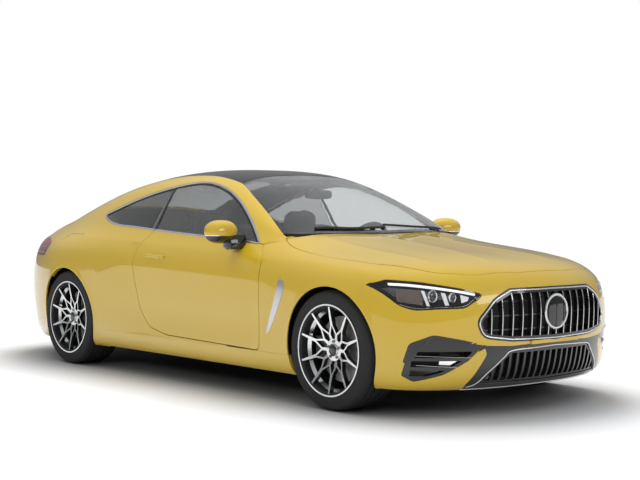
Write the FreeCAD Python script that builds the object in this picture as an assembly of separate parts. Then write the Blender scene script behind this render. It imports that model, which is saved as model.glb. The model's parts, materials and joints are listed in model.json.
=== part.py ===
import FreeCAD
import Part

import math
import os

# Two-door coupe, full size, in millimetres. The nose points along -Y and up is +Z.
# The origin is on the ground, midway between the nose and the tail, on the centre plane.

V = FreeCAD.Vector

# Driving dimensions of the whole car
WIDTH = 1932.0
HEIGHT = 1404.0
WHEELBASE = 2875.0
FRONT_OVERHANG = 867.0
REAR_OVERHANG = 1120.0
LENGTH = FRONT_OVERHANG + WHEELBASE + REAR_OVERHANG
FRONT_AXLE_Y = FRONT_OVERHANG - LENGTH / 2
REAR_AXLE_Y = FRONT_AXLE_Y + WHEELBASE

# Wheels
TYRE_RADIUS = 340.0
TYRE_WIDTH = 262.0
RIM_RADIUS = 260.0
RIM_LIP = 10.0
RIM_WALL = 9.0
WHEEL_INSET = 31.0
SPOKES = 10
FORK_RADIUS = 150.0
MEET_RADIUS = 90.0
HUB_RADIUS = 62.0
HUB_BORE = 24.0
HUB_THICKNESS = 24.0
DISH = 46.0
WEB = 30.0
CAP_THICKNESS = 8.0
HAT_RADIUS = 74.0
DISC_RADIUS = 186.0
DISC_THICKNESS = 28.0
KINGPIN_OFFSET = 32.0
KINGPIN_RADIUS = 13.0
BALL_JOINT_RADIUS = 23.5

# Walls, seams and gaps
DOOR_DEPTH = 130.0
FLANGE = 7.0
SKIN = 6.0
BUMPER_SKIN = 9.0
LID_SKIN = 18.0
FRAME_WALL = 30.0
GLASS = 5.0
SHUT_GAP = 5.0
SEAM = 0.6
FIT = 0.3
ARCH_GAP = 20.0
LINER_GAP = 56.0
LINER_WALL = 4.0
CRUMB = 200.0

# Hinges
HINGE_SETBACK = 70.0
HINGE_INSET = 41.0
PIN_RADIUS = 7.0
DOOR_EDGE_Y = -925.0

WHEEL_X = WIDTH / 2 - WHEEL_INSET - TYRE_WIDTH / 2
KINGPIN_X = WHEEL_X - KINGPIN_OFFSET
ARCH_RADIUS = TYRE_RADIUS + ARCH_GAP
LINER_RADIUS = TYRE_RADIUS + LINER_GAP

# The lines plan was drawn at these reference sizes, and follows the driving dimensions
PLAN_WIDTH = 1932.0
PLAN_HEIGHTS = (0.0, 340.0, 1404.0)
PLAN_LENGTHS = (-2431.0, -1564.0, 1311.0, 2431.0)


def between(value, marks, places):
    """Carry a value from the marks of the lines plan to their real places."""
    for i in range(1, len(marks)):
        if value <= marks[i] or i == len(marks) - 1:
            share = (value - marks[i - 1]) / (marks[i] - marks[i - 1])
            return places[i - 1] + share * (places[i] - places[i - 1])


def across(x):
    return x * WIDTH / PLAN_WIDTH


def along(y):
    places = (-LENGTH / 2, FRONT_AXLE_Y, REAR_AXLE_Y, LENGTH / 2)
    return between(y, PLAN_LENGTHS, places)


def above(z):
    return between(z, PLAN_HEIGHTS, (0.0, TYRE_RADIUS, HEIGHT))


def at(x, y, z):
    return V(across(x), along(y), above(z))


# Lower body: each column of poles rises from the lower edge over the shoulder to the centre
# line, and the columns go from the middle of the nose round the side to the middle of the tail.
LOWER = [
    [(0, -2300, 150), (0, -2385, 190), (0, -2415, 330), (0, -2432, 480), (0, -2438, 600),
     (0, -2415, 710), (0, -2340, 790), (0, -2240, 828), (0, -2120, 850), (0, -2000, 866)],
    [(230, -2290, 150), (230, -2375, 190), (230, -2402, 330), (230, -2418, 480), (230, -2424, 600),
     (230, -2402, 710), (228, -2325, 788), (215, -2225, 828), (120, -2080, 862), (0, -1960, 872)],
    [(450, -2250, 150), (455, -2330, 190), (458, -2355, 330), (460, -2368, 480), (460, -2372, 600),
     (458, -2350, 700), (452, -2275, 780), (425, -2170, 828), (230, -2020, 872), (0, -1880, 882)],
    [(630, -2180, 150), (650, -2255, 190), (655, -2270, 330), (656, -2275, 480), (656, -2272, 600),
     (652, -2245, 695), (640, -2170, 770), (600, -2065, 825), (320, -1920, 882), (0, -1800, 892)],
    [(760, -2080, 150), (800, -2130, 190), (808, -2140, 330), (812, -2140, 480), (812, -2130, 600),
     (806, -2100, 690), (785, -2030, 765), (725, -1940, 825), (380, -1820, 892), (0, -1710, 902)],
    [(840, -1960, 150), (885, -1980, 190), (895, -1985, 330), (902, -1980, 480), (904, -1965, 600),
     (896, -1935, 695), (866, -1880, 772), (780, -1800, 838), (400, -1700, 905), (0, -1610, 914)],
    [(865, -1790, 150), (915, -1790, 190), (930, -1790, 330), (940, -1785, 480), (944, -1770, 600),
     (936, -1740, 705), (900, -1690, 785), (800, -1620, 850), (410, -1540, 922), (0, -1480, 930)],
    [(875, -1565, 150), (925, -1565, 190), (940, -1565, 330), (952, -1565, 480), (958, -1555, 600),
     (950, -1530, 712), (912, -1490, 798), (805, -1430, 865), (420, -1370, 942), (0, -1340, 948)],
    [(872, -1300, 150), (924, -1300, 190), (936, -1300, 330), (942, -1300, 450), (950, -1295, 585),
     (948, -1280, 712), (914, -1250, 808), (812, -1210, 882), (490, -1180, 966), (0, -1160, 962)],
    [(866, -1000, 150), (920, -1000, 190), (926, -1000, 300), (924, -1000, 420), (936, -1000, 570),
     (940, -995, 705), (915, -985, 815), (834, -970, 908), (630, -960, 1010), (0, -950, 968)],
    [(862, -600, 150), (918, -600, 190), (922, -600, 300), (914, -600, 410), (928, -600, 560),
     (936, -600, 700), (916, -600, 820), (845, -600, 930), (640, -600, 1050), (0, -600, 1000)],
    [(862, -100, 150), (918, -100, 190), (922, -100, 300), (912, -100, 410), (926, -100, 560),
     (936, -100, 705), (920, -100, 830), (850, -100, 938), (450, -100, 1010), (0, -100, 1010)],
    [(862, 400, 150), (918, 400, 190), (922, 400, 300), (914, 400, 410), (930, 400, 560),
     (940, 400, 710), (926, 400, 840), (852, 400, 958), (450, 400, 1015), (0, 400, 1015)],
    [(868, 800, 150), (922, 800, 190), (930, 800, 300), (932, 800, 420), (948, 800, 565),
     (955, 800, 715), (934, 800, 850), (850, 800, 958), (450, 800, 1015), (0, 800, 1015)],
    [(875, 1080, 150), (928, 1080, 190), (942, 1080, 320), (954, 1080, 460), (966, 1080, 600),
     (966, 1080, 740), (936, 1080, 862), (838, 1080, 955), (450, 1080, 1012), (0, 1080, 1012)],
    [(878, 1310, 150), (930, 1310, 190), (946, 1310, 330), (960, 1310, 480), (972, 1310, 620),
     (966, 1310, 755), (930, 1310, 868), (822, 1310, 952), (440, 1310, 1005), (0, 1310, 1005)],
    [(872, 1560, 150), (922, 1560, 190), (938, 1560, 330), (952, 1560, 480), (962, 1560, 620),
     (956, 1560, 755), (914, 1560, 868), (796, 1560, 948), (430, 1560, 1000), (0, 1560, 1000)],
    [(815, 1835, 150), (858, 1838, 190), (872, 1842, 330), (884, 1848, 480), (892, 1845, 620),
     (884, 1835, 760), (846, 1825, 868), (742, 1815, 940), (410, 1800, 990), (0, 1780, 990)],
    [(725, 2075, 150), (756, 2095, 190), (770, 2112, 330), (782, 2125, 480), (786, 2122, 620),
     (776, 2105, 760), (742, 2075, 868), (658, 2035, 938), (380, 1990, 982), (0, 1950, 982)],
    [(600, 2230, 150), (622, 2275, 190), (630, 2310, 330), (636, 2335, 480), (636, 2335, 620),
     (628, 2312, 760), (606, 2270, 872), (550, 2215, 942), (320, 2140, 978), (0, 2090, 976)],
    [(320, 2290, 150), (328, 2340, 190), (330, 2385, 330), (332, 2412, 480), (332, 2415, 620),
     (330, 2395, 760), (322, 2360, 880), (300, 2310, 950), (190, 2250, 975), (0, 2200, 974)],
    [(0, 2305, 150), (0, 2360, 190), (0, 2405, 330), (0, 2430, 480), (0, 2434, 620),
     (0, 2418, 760), (0, 2388, 885), (0, 2345, 955), (0, 2300, 972), (0, 2260, 972)],
]

# Greenhouse: sections across the car, each from the belt over the rail to the centre line
HOUSE = [
    (-1120, [(790, 868), (755, 888), (710, 905), (655, 918), (585, 928), (420, 938), (200, 942), (0, 942)]),
    (-930, [(815, 897), (785, 927), (750, 952), (715, 974), (660, 1000), (480, 1038), (240, 1058),
            (0, 1058)]),
    (-740, [(835, 917), (812, 948), (775, 1000), (725, 1052), (655, 1090), (470, 1138), (230, 1162),
            (0, 1162)]),
    (-500, [(845, 932), (820, 965), (766, 1055), (700, 1140), (624, 1198), (450, 1252), (220, 1280),
            (0, 1280)]),
    (-250, [(850, 947), (818, 980), (750, 1090), (677, 1205), (597, 1283), (440, 1338), (220, 1366),
            (0, 1366)]),
    (50, [(852, 960), (816, 990), (742, 1112), (664, 1240), (592, 1326), (445, 1376), (225, 1400),
          (0, 1400)]),
    (400, [(852, 974), (814, 1002), (742, 1115), (664, 1240), (592, 1328), (445, 1380), (225, 1404),
           (0, 1404)]),
    (750, [(850, 982), (808, 1006), (740, 1100), (664, 1212), (596, 1298), (450, 1350), (225, 1376),
           (0, 1376)]),
    (1050, [(842, 980), (800, 1002), (738, 1080), (668, 1172), (602, 1248), (455, 1300), (225, 1326),
            (0, 1326)]),
    (1300, [(826, 968), (786, 988), (730, 1048), (670, 1120), (608, 1186), (455, 1236), (225, 1262),
            (0, 1262)]),
    (1550, [(795, 955), (757, 974), (712, 1014), (660, 1064), (608, 1112), (450, 1160), (225, 1184),
            (0, 1184)]),
    (1850, [(745, 940), (712, 956), (675, 974), (632, 998), (580, 1022), (430, 1050), (215, 1064),
            (0, 1064)]),
    (2020, [(705, 930), (675, 942), (640, 952), (600, 966), (550, 978), (410, 990), (210, 996), (0, 996)]),
]


def cubic(t):
    """The four weights of a uniform cubic spline."""
    s = 1 - t
    return (s ** 3 / 6, (3 * t ** 3 - 6 * t ** 2 + 4) / 6, (3 * s ** 3 - 6 * s ** 2 + 4) / 6, t ** 3 / 6)


class Net:
    """A net of spline poles, mirrored past the centre plane and carried on straight elsewhere."""

    def __init__(self, columns, round_ends, round_top):
        self.columns = columns
        self.round_ends = round_ends
        self.round_top = round_top
        self.last = len(columns) - 1
        self.top = len(columns[0]) - 1
        self.known = {}

    def pole(self, i, j):
        if (i, j) not in self.known:
            self.known[(i, j)] = self.find(i, j)
        return self.known[(i, j)]

    def find(self, i, j):
        if j < 0:
            return self.pole(i, 0) * 2 - self.pole(i, -j)
        if j > self.top:
            mirror = self.pole(i, 2 * self.top - j)
            return flip(mirror) if self.round_top else self.pole(i, self.top) * 2 - mirror
        if i < 0:
            return flip(self.pole(-i, j)) if self.round_ends else self.pole(0, j) * 2 - self.pole(-i, j)
        if i > self.last:
            mirror = self.pole(2 * self.last - i, j)
            return flip(mirror) if self.round_ends else self.pole(self.last, j) * 2 - mirror
        return self.columns[i][j]

    def point(self, u, v):
        i, j = math.floor(u), math.floor(v)
        total = V(0, 0, 0)
        for a, wide in enumerate(cubic(u - i)):
            for b, high in enumerate(cubic(v - j)):
                total = total + self.pole(i - 1 + a, j - 1 + b) * (wide * high)
        return total

    def column_at(self, y, v, low, high):
        """The place along the columns where the line at v reaches the length y."""
        for _ in range(34):
            middle = (low + high) / 2
            if self.point(middle, v).y < y:
                low = middle
            else:
                high = middle
        return low


def flip(p):
    return V(-p.x, p.y, p.z)


lower = Net([[at(*p) for p in column] for column in LOWER], True, True)
house = Net([[at(x, y, z) for x, z in section] for y, section in HOUSE], False, True)


def lower_at(y, v):
    return lower.point(lower.column_at(y, v, 0, lower.last), v)


def house_at(y, w):
    return house.point(house.column_at(y, w, 0, house.last), w)


def steps(first, last, count):
    return [first + (last - first) * i / (count - 1) for i in range(count)]


def height_on(pairs, x):
    """Read the height at x from pairs of (x, height) that run inwards."""
    for (x1, z1), (x0, z0) in zip(pairs, pairs[1:]):
        if x0 <= x <= x1 and x1 > x0:
            return z0 + (z1 - z0) * (x - x0) / (x1 - x0)
    return pairs[0][1] if x > pairs[0][0] else pairs[-1][1]


def deck_line(y):
    """The lower body's section at y, as (x, z) from the shoulder to the centre line."""
    line = []
    for v in steps(4.8, lower.top, 43):
        if lower.point(0, v).y <= y <= lower.point(lower.last, v).y:
            p = lower_at(y, v)
            line.append((p.x, p.z))
    for end in (0, lower.last):
        if line and line[-1][0] > 1:
            low, high = 4.0, float(lower.top)
            rising = lower.point(end, high).y > lower.point(end, low).y
            for _ in range(30):
                middle = (low + high) / 2
                if (lower.point(end, middle).y < y) == rising:
                    low = middle
                else:
                    high = middle
            p = lower.point(end, low)
            if abs(p.y - y) < 1:
                line.append((0.0, p.z))
    return line


def house_line(y):
    points = [house_at(y, w) for w in steps(0, house.top, 29)]
    return [(p.x, p.z) for p in points]


def tail_line(z):
    """The lower body's plan at z behind the rear axle, as (x, y) from the side to the middle."""
    line = []
    for u in steps(15.0, lower.last, 25):
        low, high = 0.0, 8.0
        for _ in range(30):
            middle = (low + high) / 2
            if lower.point(u, middle).z < z:
                low = middle
            else:
                high = middle
        p = lower.point(u, low)
        line.append((p.x, p.y))
    return line


def patch(net, u0, u1, v0, v1):
    """The exact spline surface of a net between two places along it and two places up it."""
    i0, i1 = math.floor(u0), math.ceil(u1)
    j0, j1 = math.floor(v0), math.ceil(v1)
    poles = [[net.pole(i, j) for j in range(j0 - 1, j1 + 2)] for i in range(i0 - 1, i1 + 2)]
    wide, high = len(poles), len(poles[0])
    knots = [[float(k) for k in range(count + 4)] for count in (wide, high)]
    surface = Part.BSplineSurface()
    surface.buildFromPolesMultsKnots(poles, [1] * (wide + 4), [1] * (high + 4), knots[0], knots[1],
                                     False, False, 3, 3)
    surface.segment(u0 - i0 + 3, u1 - i0 + 3, v0 - j0 + 3, v1 - j0 + 3)
    return surface


def through(rows, round_top, passes=3):
    """A net whose surface runs close to the given rows of points."""
    poles = [list(row) for row in rows]
    for _ in range(passes):
        net = Net(poles, False, round_top)
        moved = []
        for i, row in enumerate(rows):
            moved.append([poles[i][j] + (p - net.point(i, j)) for j, p in enumerate(row)])
        poles = moved
    return Net(poles, False, round_top)


def rims(surface):
    u0, u1, v0, v1 = surface.bounds()
    return [surface.uIso(u0), surface.uIso(u1), surface.vIso(v0), surface.vIso(v1)]


def inset(surface, depth, outward, n, m):
    """A surface at a depth behind another one."""
    if depth == 0:
        return surface
    u0, u1, v0, v1 = surface.bounds()
    rows = []
    for u in steps(u0, u1, n):
        rows.append([surface.value(u, v) - surface.normal(u, v) * depth * outward
                     for v in steps(v0, v1, m)])
    net = through(rows, False)
    return patch(net, 0, net.last, 0, net.top)


def slab(surface, top, bottom, seen_from, n=12, m=9):
    """The solid between two depths behind a surface, whose outside faces the given point."""
    u0, u1, v0, v1 = surface.bounds()
    u, v = (u0 + u1) / 2, (v0 + v1) / 2
    toward = seen_from - surface.value(u, v)
    outward = 1 if toward.dot(surface.normal(u, v)) > 0 else -1
    a = inset(surface, top, outward, n, m)
    b = inset(surface, bottom, outward, n, m)
    faces = [a.toShape(), b.toShape()]
    for ca, cb in zip(rims(a), rims(b)):
        faces.append(Part.makeRuledSurface(ca.toShape(), cb.toShape(), 1))
    shell = Part.makeCompound(faces)
    shell.sewShape(0.05)
    return positive(Part.makeSolid(shell.Shells[0]))


def positive(solid):
    if solid.Volume < 0:
        solid.reverse()
    return solid


def grown(outline, gap):
    """Move every side of an outline outwards by a gap. Its corners are (a, b, radius)."""
    points = [(p[0], p[1]) for p in outline]
    turn = sum(a[0] * b[1] - b[0] * a[1] for a, b in zip(points, points[1:] + points[:1]))
    side = 1 if turn > 0 else -1
    result = []
    for i, (a, b, r) in enumerate(outline):
        before, after = points[i - 1], points[(i + 1) % len(points)]
        d1, d2 = unit(a - before[0], b - before[1]), unit(after[0] - a, after[1] - b)
        n1, n2 = (d1[1] * side, -d1[0] * side), (d2[1] * side, -d2[0] * side)
        share = gap / (1 + n1[0] * n2[0] + n1[1] * n2[1])
        convex = (d1[0] * d2[1] - d1[1] * d2[0]) * side > 0
        radius = max(r + gap, 0) if convex else max(r - gap, 0)
        result.append((a + (n1[0] + n2[0]) * share, b + (n1[1] + n2[1]) * share, radius if r else 0))
    return result


def unit(a, b):
    length = math.hypot(a, b)
    return (a / length, b / length)


def rounded(outline):
    """Edges of a closed outline in a plane, with each corner's radius kept to what its sides allow."""
    count = len(outline)
    cuts = []
    for i, (a, b, r) in enumerate(outline):
        p, q = outline[i - 1], outline[(i + 1) % count]
        d1, d2 = unit(p[0] - a, p[1] - b), unit(q[0] - a, q[1] - b)
        cosine = max(-1.0, min(1.0, d1[0] * d2[0] + d1[1] * d2[1]))
        half = math.acos(cosine) / 2
        room = 0.49 * min(math.hypot(p[0] - a, p[1] - b), math.hypot(q[0] - a, q[1] - b))
        reach = min(r / math.tan(half), room) if r and half < 1.56 else 0
        cuts.append((a, b, d1, d2, reach, half))
    return cuts


def prism(outline, axis, low, high):
    """Extrude a rounded outline along an axis. Its two coordinates are the other axes in order."""
    def place(a, b):
        return {"x": V(low, a, b), "y": V(a, low, b), "z": V(a, b, low)}[axis]
    corners = rounded(outline)
    edges = []
    for corner, following in zip(corners, corners[1:] + corners[:1]):
        a, b, _, d2, reach, _ = corner
        if reach:
            edges.append(corner_arc(place, *corner))
        leave = place(a + d2[0] * reach, b + d2[1] * reach)
        arrive = place(following[0] + following[2][0] * following[4],
                       following[1] + following[2][1] * following[4])
        if leave.distanceToPoint(arrive) > 1e-3:
            edges.append(Part.LineSegment(leave, arrive).toShape())
    push = {"x": V(1, 0, 0), "y": V(0, 1, 0), "z": V(0, 0, 1)}[axis] * (high - low)
    return positive(Part.Face(Part.Wire(edges)).extrude(push))


def corner_arc(place, a, b, d1, d2, reach, half):
    radius = reach * math.tan(half)
    m = unit(d1[0] + d2[0], d1[1] + d2[1])
    middle = math.hypot(reach, radius) - radius
    return Part.Arc(place(a + d1[0] * reach, b + d1[1] * reach),
                    place(a + m[0] * middle, b + m[1] * middle),
                    place(a + d2[0] * reach, b + d2[1] * reach)).toShape()


def box(x0, x1, y0, y1, z0, z1):
    return Part.makeBox(x1 - x0, y1 - y0, z1 - z0, V(x0, y0, z0))


def block(x0, x1, y0, y1, z0, z1):
    """A box whose six sides are given on the lines plan."""
    return box(across(x0), across(x1), along(y0), along(y1), above(z0), above(z1))


def round_bar(radius, start, end):
    return Part.makeCylinder(radius, start.distanceToPoint(end), start, end - start)


def mirrored(shape):
    return shape.mirror(V(0, 0, 0), V(1, 0, 0))


def both(shape):
    return Part.makeCompound([shape, mirrored(shape)])


def joined(first, *others):
    shape = first.fuse(list(others))
    return shape.removeSplitter()


def save(name, shape):
    solids = [positive(s) for s in shape.Solids]
    solids = [solid for solid in solids if solid.Volume > CRUMB]
    result = Part.makeCompound(solids) if len(solids) > 1 else solids[0]
    print(name, len(solids), "solids", round(result.Volume / 1e6, 2), "litres", result.isValid())
    result.exportStep("parts/" + name + ".step")


# Surfaces of the body

front_skin = patch(lower, -7, 7, 0.2, 6.9)
tail_skin = patch(lower, lower.last - 6, lower.last + 6, 0.2, 6.9)
fender_skin = patch(lower, 3.5, 10.5, 0.2, 7.6)
house_skin = patch(house, 0.2, house.last, 1.6, 2 * house.top - 1.6)

# The bonnet is drawn on a grid in plan
HOOD_Y = (-2385, -2355, -2320, -2270, -2200, -2100, -1960, -1800, -1620, -1440, -1260, -1080, -900)
HOOD_X = (840, 790, 730, 650, 550, 420, 280, 140, 0)
hood_rows = []
for y in HOOD_Y:
    pairs = deck_line(along(y))
    hood_rows.append([V(across(x), along(y), height_on(pairs, across(x))) for x in HOOD_X])
hood = through(hood_rows, True)
hood_skin = patch(hood, 0, hood.last, 0, 2 * hood.top)

# The side of the body runs unbroken from the sill over the shoulder and up the rear pillar
SIDE_FIRST = 8.0
SIDE_END = 20.0
SIDE_ROWS = (0.2, 1, 2, 3, 4, 5, 6)
HOUSE_ROWS = (1.7, 2.4, 3, 4, 5, 6, 7)
DECK_ROWS = (6.95, 7.15, 7.35, 7.6, 8.0, 8.5, 9.0)
BELT_LOW = 6.65
BELT_HIGH = 0.9
side_points = []
for u in steps(SIDE_FIRST, SIDE_END, 25):
    column = [lower.point(u, v) for v in SIDE_ROWS]
    reach = lower.point(u, BELT_LOW)
    if reach.y < house.columns[-1][0].y:
        belt = (reach + house_at(reach.y, BELT_HIGH)) * 0.5
        column = column + [belt] + [house_at(reach.y, w) for w in HOUSE_ROWS]
    else:
        column = column + [reach] + [lower.point(u, v) for v in DECK_ROWS]
    side_points.append(column)
side = through(side_points, True)
side_skin = patch(side, 0, side.last, 0, side.top)

# The boot lid is drawn round a pivot inside the boot, from the rear window down to the bumper
PIVOT = (along(1540), above(720))
LID_ANGLES = (92, 84, 76, 68, 60, 52, 44, 37, 31, 26, 22, 18, 14, 10, 6, 1, -4, -9)
LID_X = (640, 560, 470, 370, 250, 125, 0)


def lid_point(x, angle, outline):
    """Where a ray from the pivot meets the rear of the body at x."""
    rays = [(math.degrees(math.atan2(z - PIVOT[1], y - PIVOT[0])), math.hypot(z - PIVOT[1], y - PIVOT[0]))
            for y, z in outline]
    for (a1, r1), (a0, r0) in zip(rays, rays[1:]):
        if a0 <= angle <= a1 and a1 > a0:
            r = r0 + (r1 - r0) * (angle - a0) / (a1 - a0)
            break
    else:
        r = rays[0][1] if angle > rays[0][0] else rays[-1][1]
    turn = math.radians(angle)
    return V(x, PIVOT[0] + r * math.cos(turn), PIVOT[1] + r * math.sin(turn))


decks = [(along(y), deck_line(along(y)), house_line(along(y)) if y < 2010 else None)
         for y in steps(1500, 2300, 33)]
tails = [(above(z), tail_line(above(z))) for z in steps(930, 560, 20)]
lid_columns = []
for x in LID_X:
    outline = []
    backs = [(height_on(line, across(x)), z) for z, line in tails]
    for y, low_line, high_line in decks:
        if across(x) > low_line[0][0] or y > backs[0][0] - 12:
            continue
        z = height_on(low_line, across(x))
        if high_line:
            z = max(z, height_on(high_line, across(x)))
        outline.append((y, z))
    lid_columns.append([lid_point(across(x), a, outline + backs) for a in LID_ANGLES])
lid = through([list(row) for row in zip(*lid_columns)], True)
lid_skin = patch(lid, 0, lid.last, 0, 2 * lid.top)

# Outlines, drawn on the lines plan. Side views give (y, z), plan views (x, y), front views (x, z).


def plan_side(points):
    return [(along(y), above(z), r) for y, z, r in points]


def plan_top(points):
    return [(across(x), along(y), r) for x, y, r in points]


def plan_front(points):
    return [(across(x), above(z), r) for x, z, r in points]


DOOR = plan_side([(-925, 288, 30), (-941, 700, 500), (-930, 835, 120), (-838, 914, 15), (-300, 950, 900),
                  (337, 984, 0), (424, 868, 160), (432, 740, 300), (366, 450, 160), (262, 345, 120),
                  (60, 306, 300)])
SIDE_GLASS = plan_side([(-806, 917, 8), (-600, 1070, 400), (-400, 1182, 300), (-180, 1268, 250), (60, 1306, 300),
                        (330, 1286, 300), (700, 1212, 600), (1128, 1078, 14), (900, 1018, 90), (337, 984, 600),
                        (-300, 950, 900)])
GLASS_SPLIT = (along(366), along(404))
SCREEN = plan_top([(0, -1058, 0), (420, -1040, 500), (640, -985, 200), (722, -905, 30), (596, -450, 700),
                   (532, -250.6, 0), (0, -250.6, 0)])
ROOF = plan_top([(0, -250, 0), (532, -250, 0), (506, 60, 500), (500, 400, 500), (508, 690, 0), (0, 690, 0)])
REAR_GLASS = plan_top([(0, 690.6, 0), (508, 690.6, 0), (530, 1100, 500), (566, 1596, 60), (420, 1622, 400),
                       (0, 1632, 0)])
HOOD = plan_top([(0, -1067, 0), (420, -1051, 500), (640, -1004, 160), (728, -934, 30), (786, -1080, 400),
                 (803, -1430, 900), (776, -1780, 500), (650, -2112, 300), (480, -2248, 300), (200, -2318, 300),
                 (0, -2326, 0)])
LID_TOP = plan_top([(0, 1642, 0), (500, 1632, 60), (578, 1640, 40), (600, 1900, 500), (540, 2150, 300),
                    (520, 2500, 0), (0, 2500, 0)])


def whole(half):
    """Complete half an outline that starts and ends on the centre plane."""
    return half + [(-x, y, r) for x, y, r in reversed(half[1:-1])]


def arch(axle_y, radius, x0, x1):
    return Part.makeCylinder(radius, x1 - x0, V(x0, axle_y, TYRE_RADIUS), V(1, 0, 0))


FAR = WIDTH
OUTSIDE = V(3 * FAR, 0, above(600))
FRONT = V(0, -3 * LENGTH, above(500))
REAR = V(0, 3 * LENGTH, above(500))
SKY = V(0, 0, 9 * HEIGHT)

HINGE_X = across(936) - HINGE_INSET
HINGE_Y = along(DOOR_EDGE_Y) + HINGE_SETBACK
HINGE_HEIGHTS = (above(446), above(742))
HINGE_ARM = 11.0
HINGE_LUG = 18.0
BOX_FRONT = HINGE_Y + 26
DOOR_INNER = across(936) - DOOR_DEPTH
SILL_TOP = above(283)
SILL_LOW = above(168)


# Doors

def outer_solid(surface, depth):
    """Everything within a depth inboard of a side surface, as one solid."""
    return positive(surface.toShape().Faces[0].extrude(V(-depth, 0, 0)))


def side_patch(y0, y1, row0, row1):
    ends = [side.column_at(y, 3.0, 0, side.last) for y in (y0, y1)]
    return patch(side, ends[0], ends[1], row0, row1)


def make_door():
    deep = outer_solid(side_patch(along(-1000), along(520), 0.5, 8.2), 320)
    door = deep.common(prism(DOOR, "x", DOOR_INNER, FAR))
    hollow = prism(plan_side([(-1200, 200, 0), (-1200, 1100, 0), (0, 1100, 0), (0, 200, 0)]), "x", 0, FAR)
    hollow = hollow.common(box(0, FAR, -FAR, BOX_FRONT, 0, FAR))
    thin = slab(side_patch(along(-1010), along(-700), 0.4, 8.0), FLANGE, 150, OUTSIDE, 8, 10)
    door = door.cut(thin.common(hollow))
    pieces = [door]
    for z in HINGE_HEIGHTS:
        low = z + HINGE_LUG / 2 + FIT
        pieces.append(box(HINGE_X - HINGE_ARM, HINGE_X + HINGE_ARM, HINGE_Y, BOX_FRONT + 20, low, low + 14))
        pieces.append(Part.makeCylinder(HINGE_ARM, 14, V(HINGE_X, HINGE_Y, low)))
        pieces.append(Part.makeCylinder(PIN_RADIUS, 14 + HINGE_LUG + FIT + 4,
                                        V(HINGE_X, HINGE_Y, low - HINGE_LUG - FIT - 4)))
    door = joined(pieces[0], *pieces[1:])
    cup = Part.makeSphere(1).transformGeometry(FreeCAD.Matrix(28, 0, 0, 0, 0, 84, 0, 0, 0, 0, 30, 0))
    cup.translate(V(across(934), along(200), above(810)))
    bar = round_bar(9, V(across(930), along(118), above(806)), V(across(926), along(282), above(812)))
    return joined(door.cut(cup), bar)


def hinge_arm(z):
    """An arm from the hinge post that holds the door's pin in its bore."""
    arm = box(PILLAR_X - 4, HINGE_X, HINGE_Y - HINGE_ARM, HINGE_Y + HINGE_ARM,
              z - HINGE_LUG / 2, z + HINGE_LUG / 2)
    eye = Part.makeCylinder(HINGE_ARM, HINGE_LUG, V(HINGE_X, HINGE_Y, z - HINGE_LUG / 2))
    bore = Part.makeCylinder(PIN_RADIUS + FIT, 2 * HINGE_LUG, V(HINGE_X, HINGE_Y, z - HINGE_LUG))
    return arm.fuse(eye).cut(bore)


def make_side_frame():
    wall = slab(side_patch(along(-1000), along(2300), 0.1, side.top - 0.6), 0, FRAME_WALL, OUTSIDE, 24, 15)
    wall = wall.cut(prism(BELOW_FRAME, "x", 0, FAR))
    wall = wall.cut(block(0, 724, -1100, -905, 800, 1100))
    wall = wall.cut(prism(grown(whole(HOOD), SHUT_GAP), "z", above(500), FAR))
    wall = wall.cut(block(850, 1200, -1000, 820.6, 100, 283.6))
    wall = wall.cut(prism(grown(DOOR, SHUT_GAP), "x", across(560), FAR))
    wall = wall.cut(prism(SIDE_GLASS, "x", across(560), FAR))
    for outline in (SCREEN, ROOF, REAR_GLASS):
        wall = wall.cut(prism(grown(whole(outline), SEAM), "z", above(930), FAR))
    wall = wall.cut(prism(grown(whole(LID_TOP), SHUT_GAP), "z", above(560), FAR))
    wall = wall.cut(box(0, across(520), along(1500), along(1700), 0, FAR))
    wall = wall.cut(arch(REAR_AXLE_Y, ARCH_RADIUS, across(500), FAR))
    wall = wall.cut(prism(REAR_SPLIT, "x", 0, FAR))
    wall = wall.cut(prism(grown(TAIL_LAMP, SEAM), "x", across(300), FAR))
    low, high = along(-1000), HINGE_Y + 16
    inner = joined(block(800, 853, 442, 800, 225, 300), block(800, 893, 442, 800, 284.5, 300),
                   block(800, 893, 442, 520, 284.5, 900),
                   box(FLOOR_X, across(853), low, along(830), SILL_LOW + 32, SILL_TOP - 21),
                   box(FLOOR_X, PILLAR_X, low, high, SILL_LOW + 32, above(915)),
                   box(FLOOR_X - 20, across(812), along(-960), along(-848), above(860), above(915)))
    covered = slab(fender_skin, -60, SKIN + SEAM, OUTSIDE + FRONT * 0.3, 12, 10)
    inner = inner.cut(covered.common(box(0, FAR, -FAR, along(-840), 0, FAR)))
    wing = slab(fender_skin, -FOOT_STEP, 120, OUTSIDE + FRONT * 0.3, 12, 10)
    wall = wall.cut(wing.common(prism(grown(FENDER, SEAM), "x", 0, FAR)))
    return joined(wall, inner, *[hinge_arm(z) for z in HINGE_HEIGHTS])


FOOT_STEP = 7
BELOW_FRAME = plan_side([(-1400, -200, 0), (-1400, 1600, 0), (-990, 1600, 0), (-990, 905, 0), (-836, 905, 0),
                         (-600, 600, 0), (-600, -200, 0)])
TAIL_LAMP = plan_side([(1690, 800, 18), (1665, 868, 30), (1840, 905, 60), (2600, 905, 0), (2600, 775, 0),
                       (1720, 775, 10)])
REAR_SPLIT = plan_side([(1530, 100, 0), (1530, 644, 0), (1700, 775, 0), (2700, 775, 0), (2700, 100, 0)])
FLOOR_X = across(762)
PILLAR_X = across(800)


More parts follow.
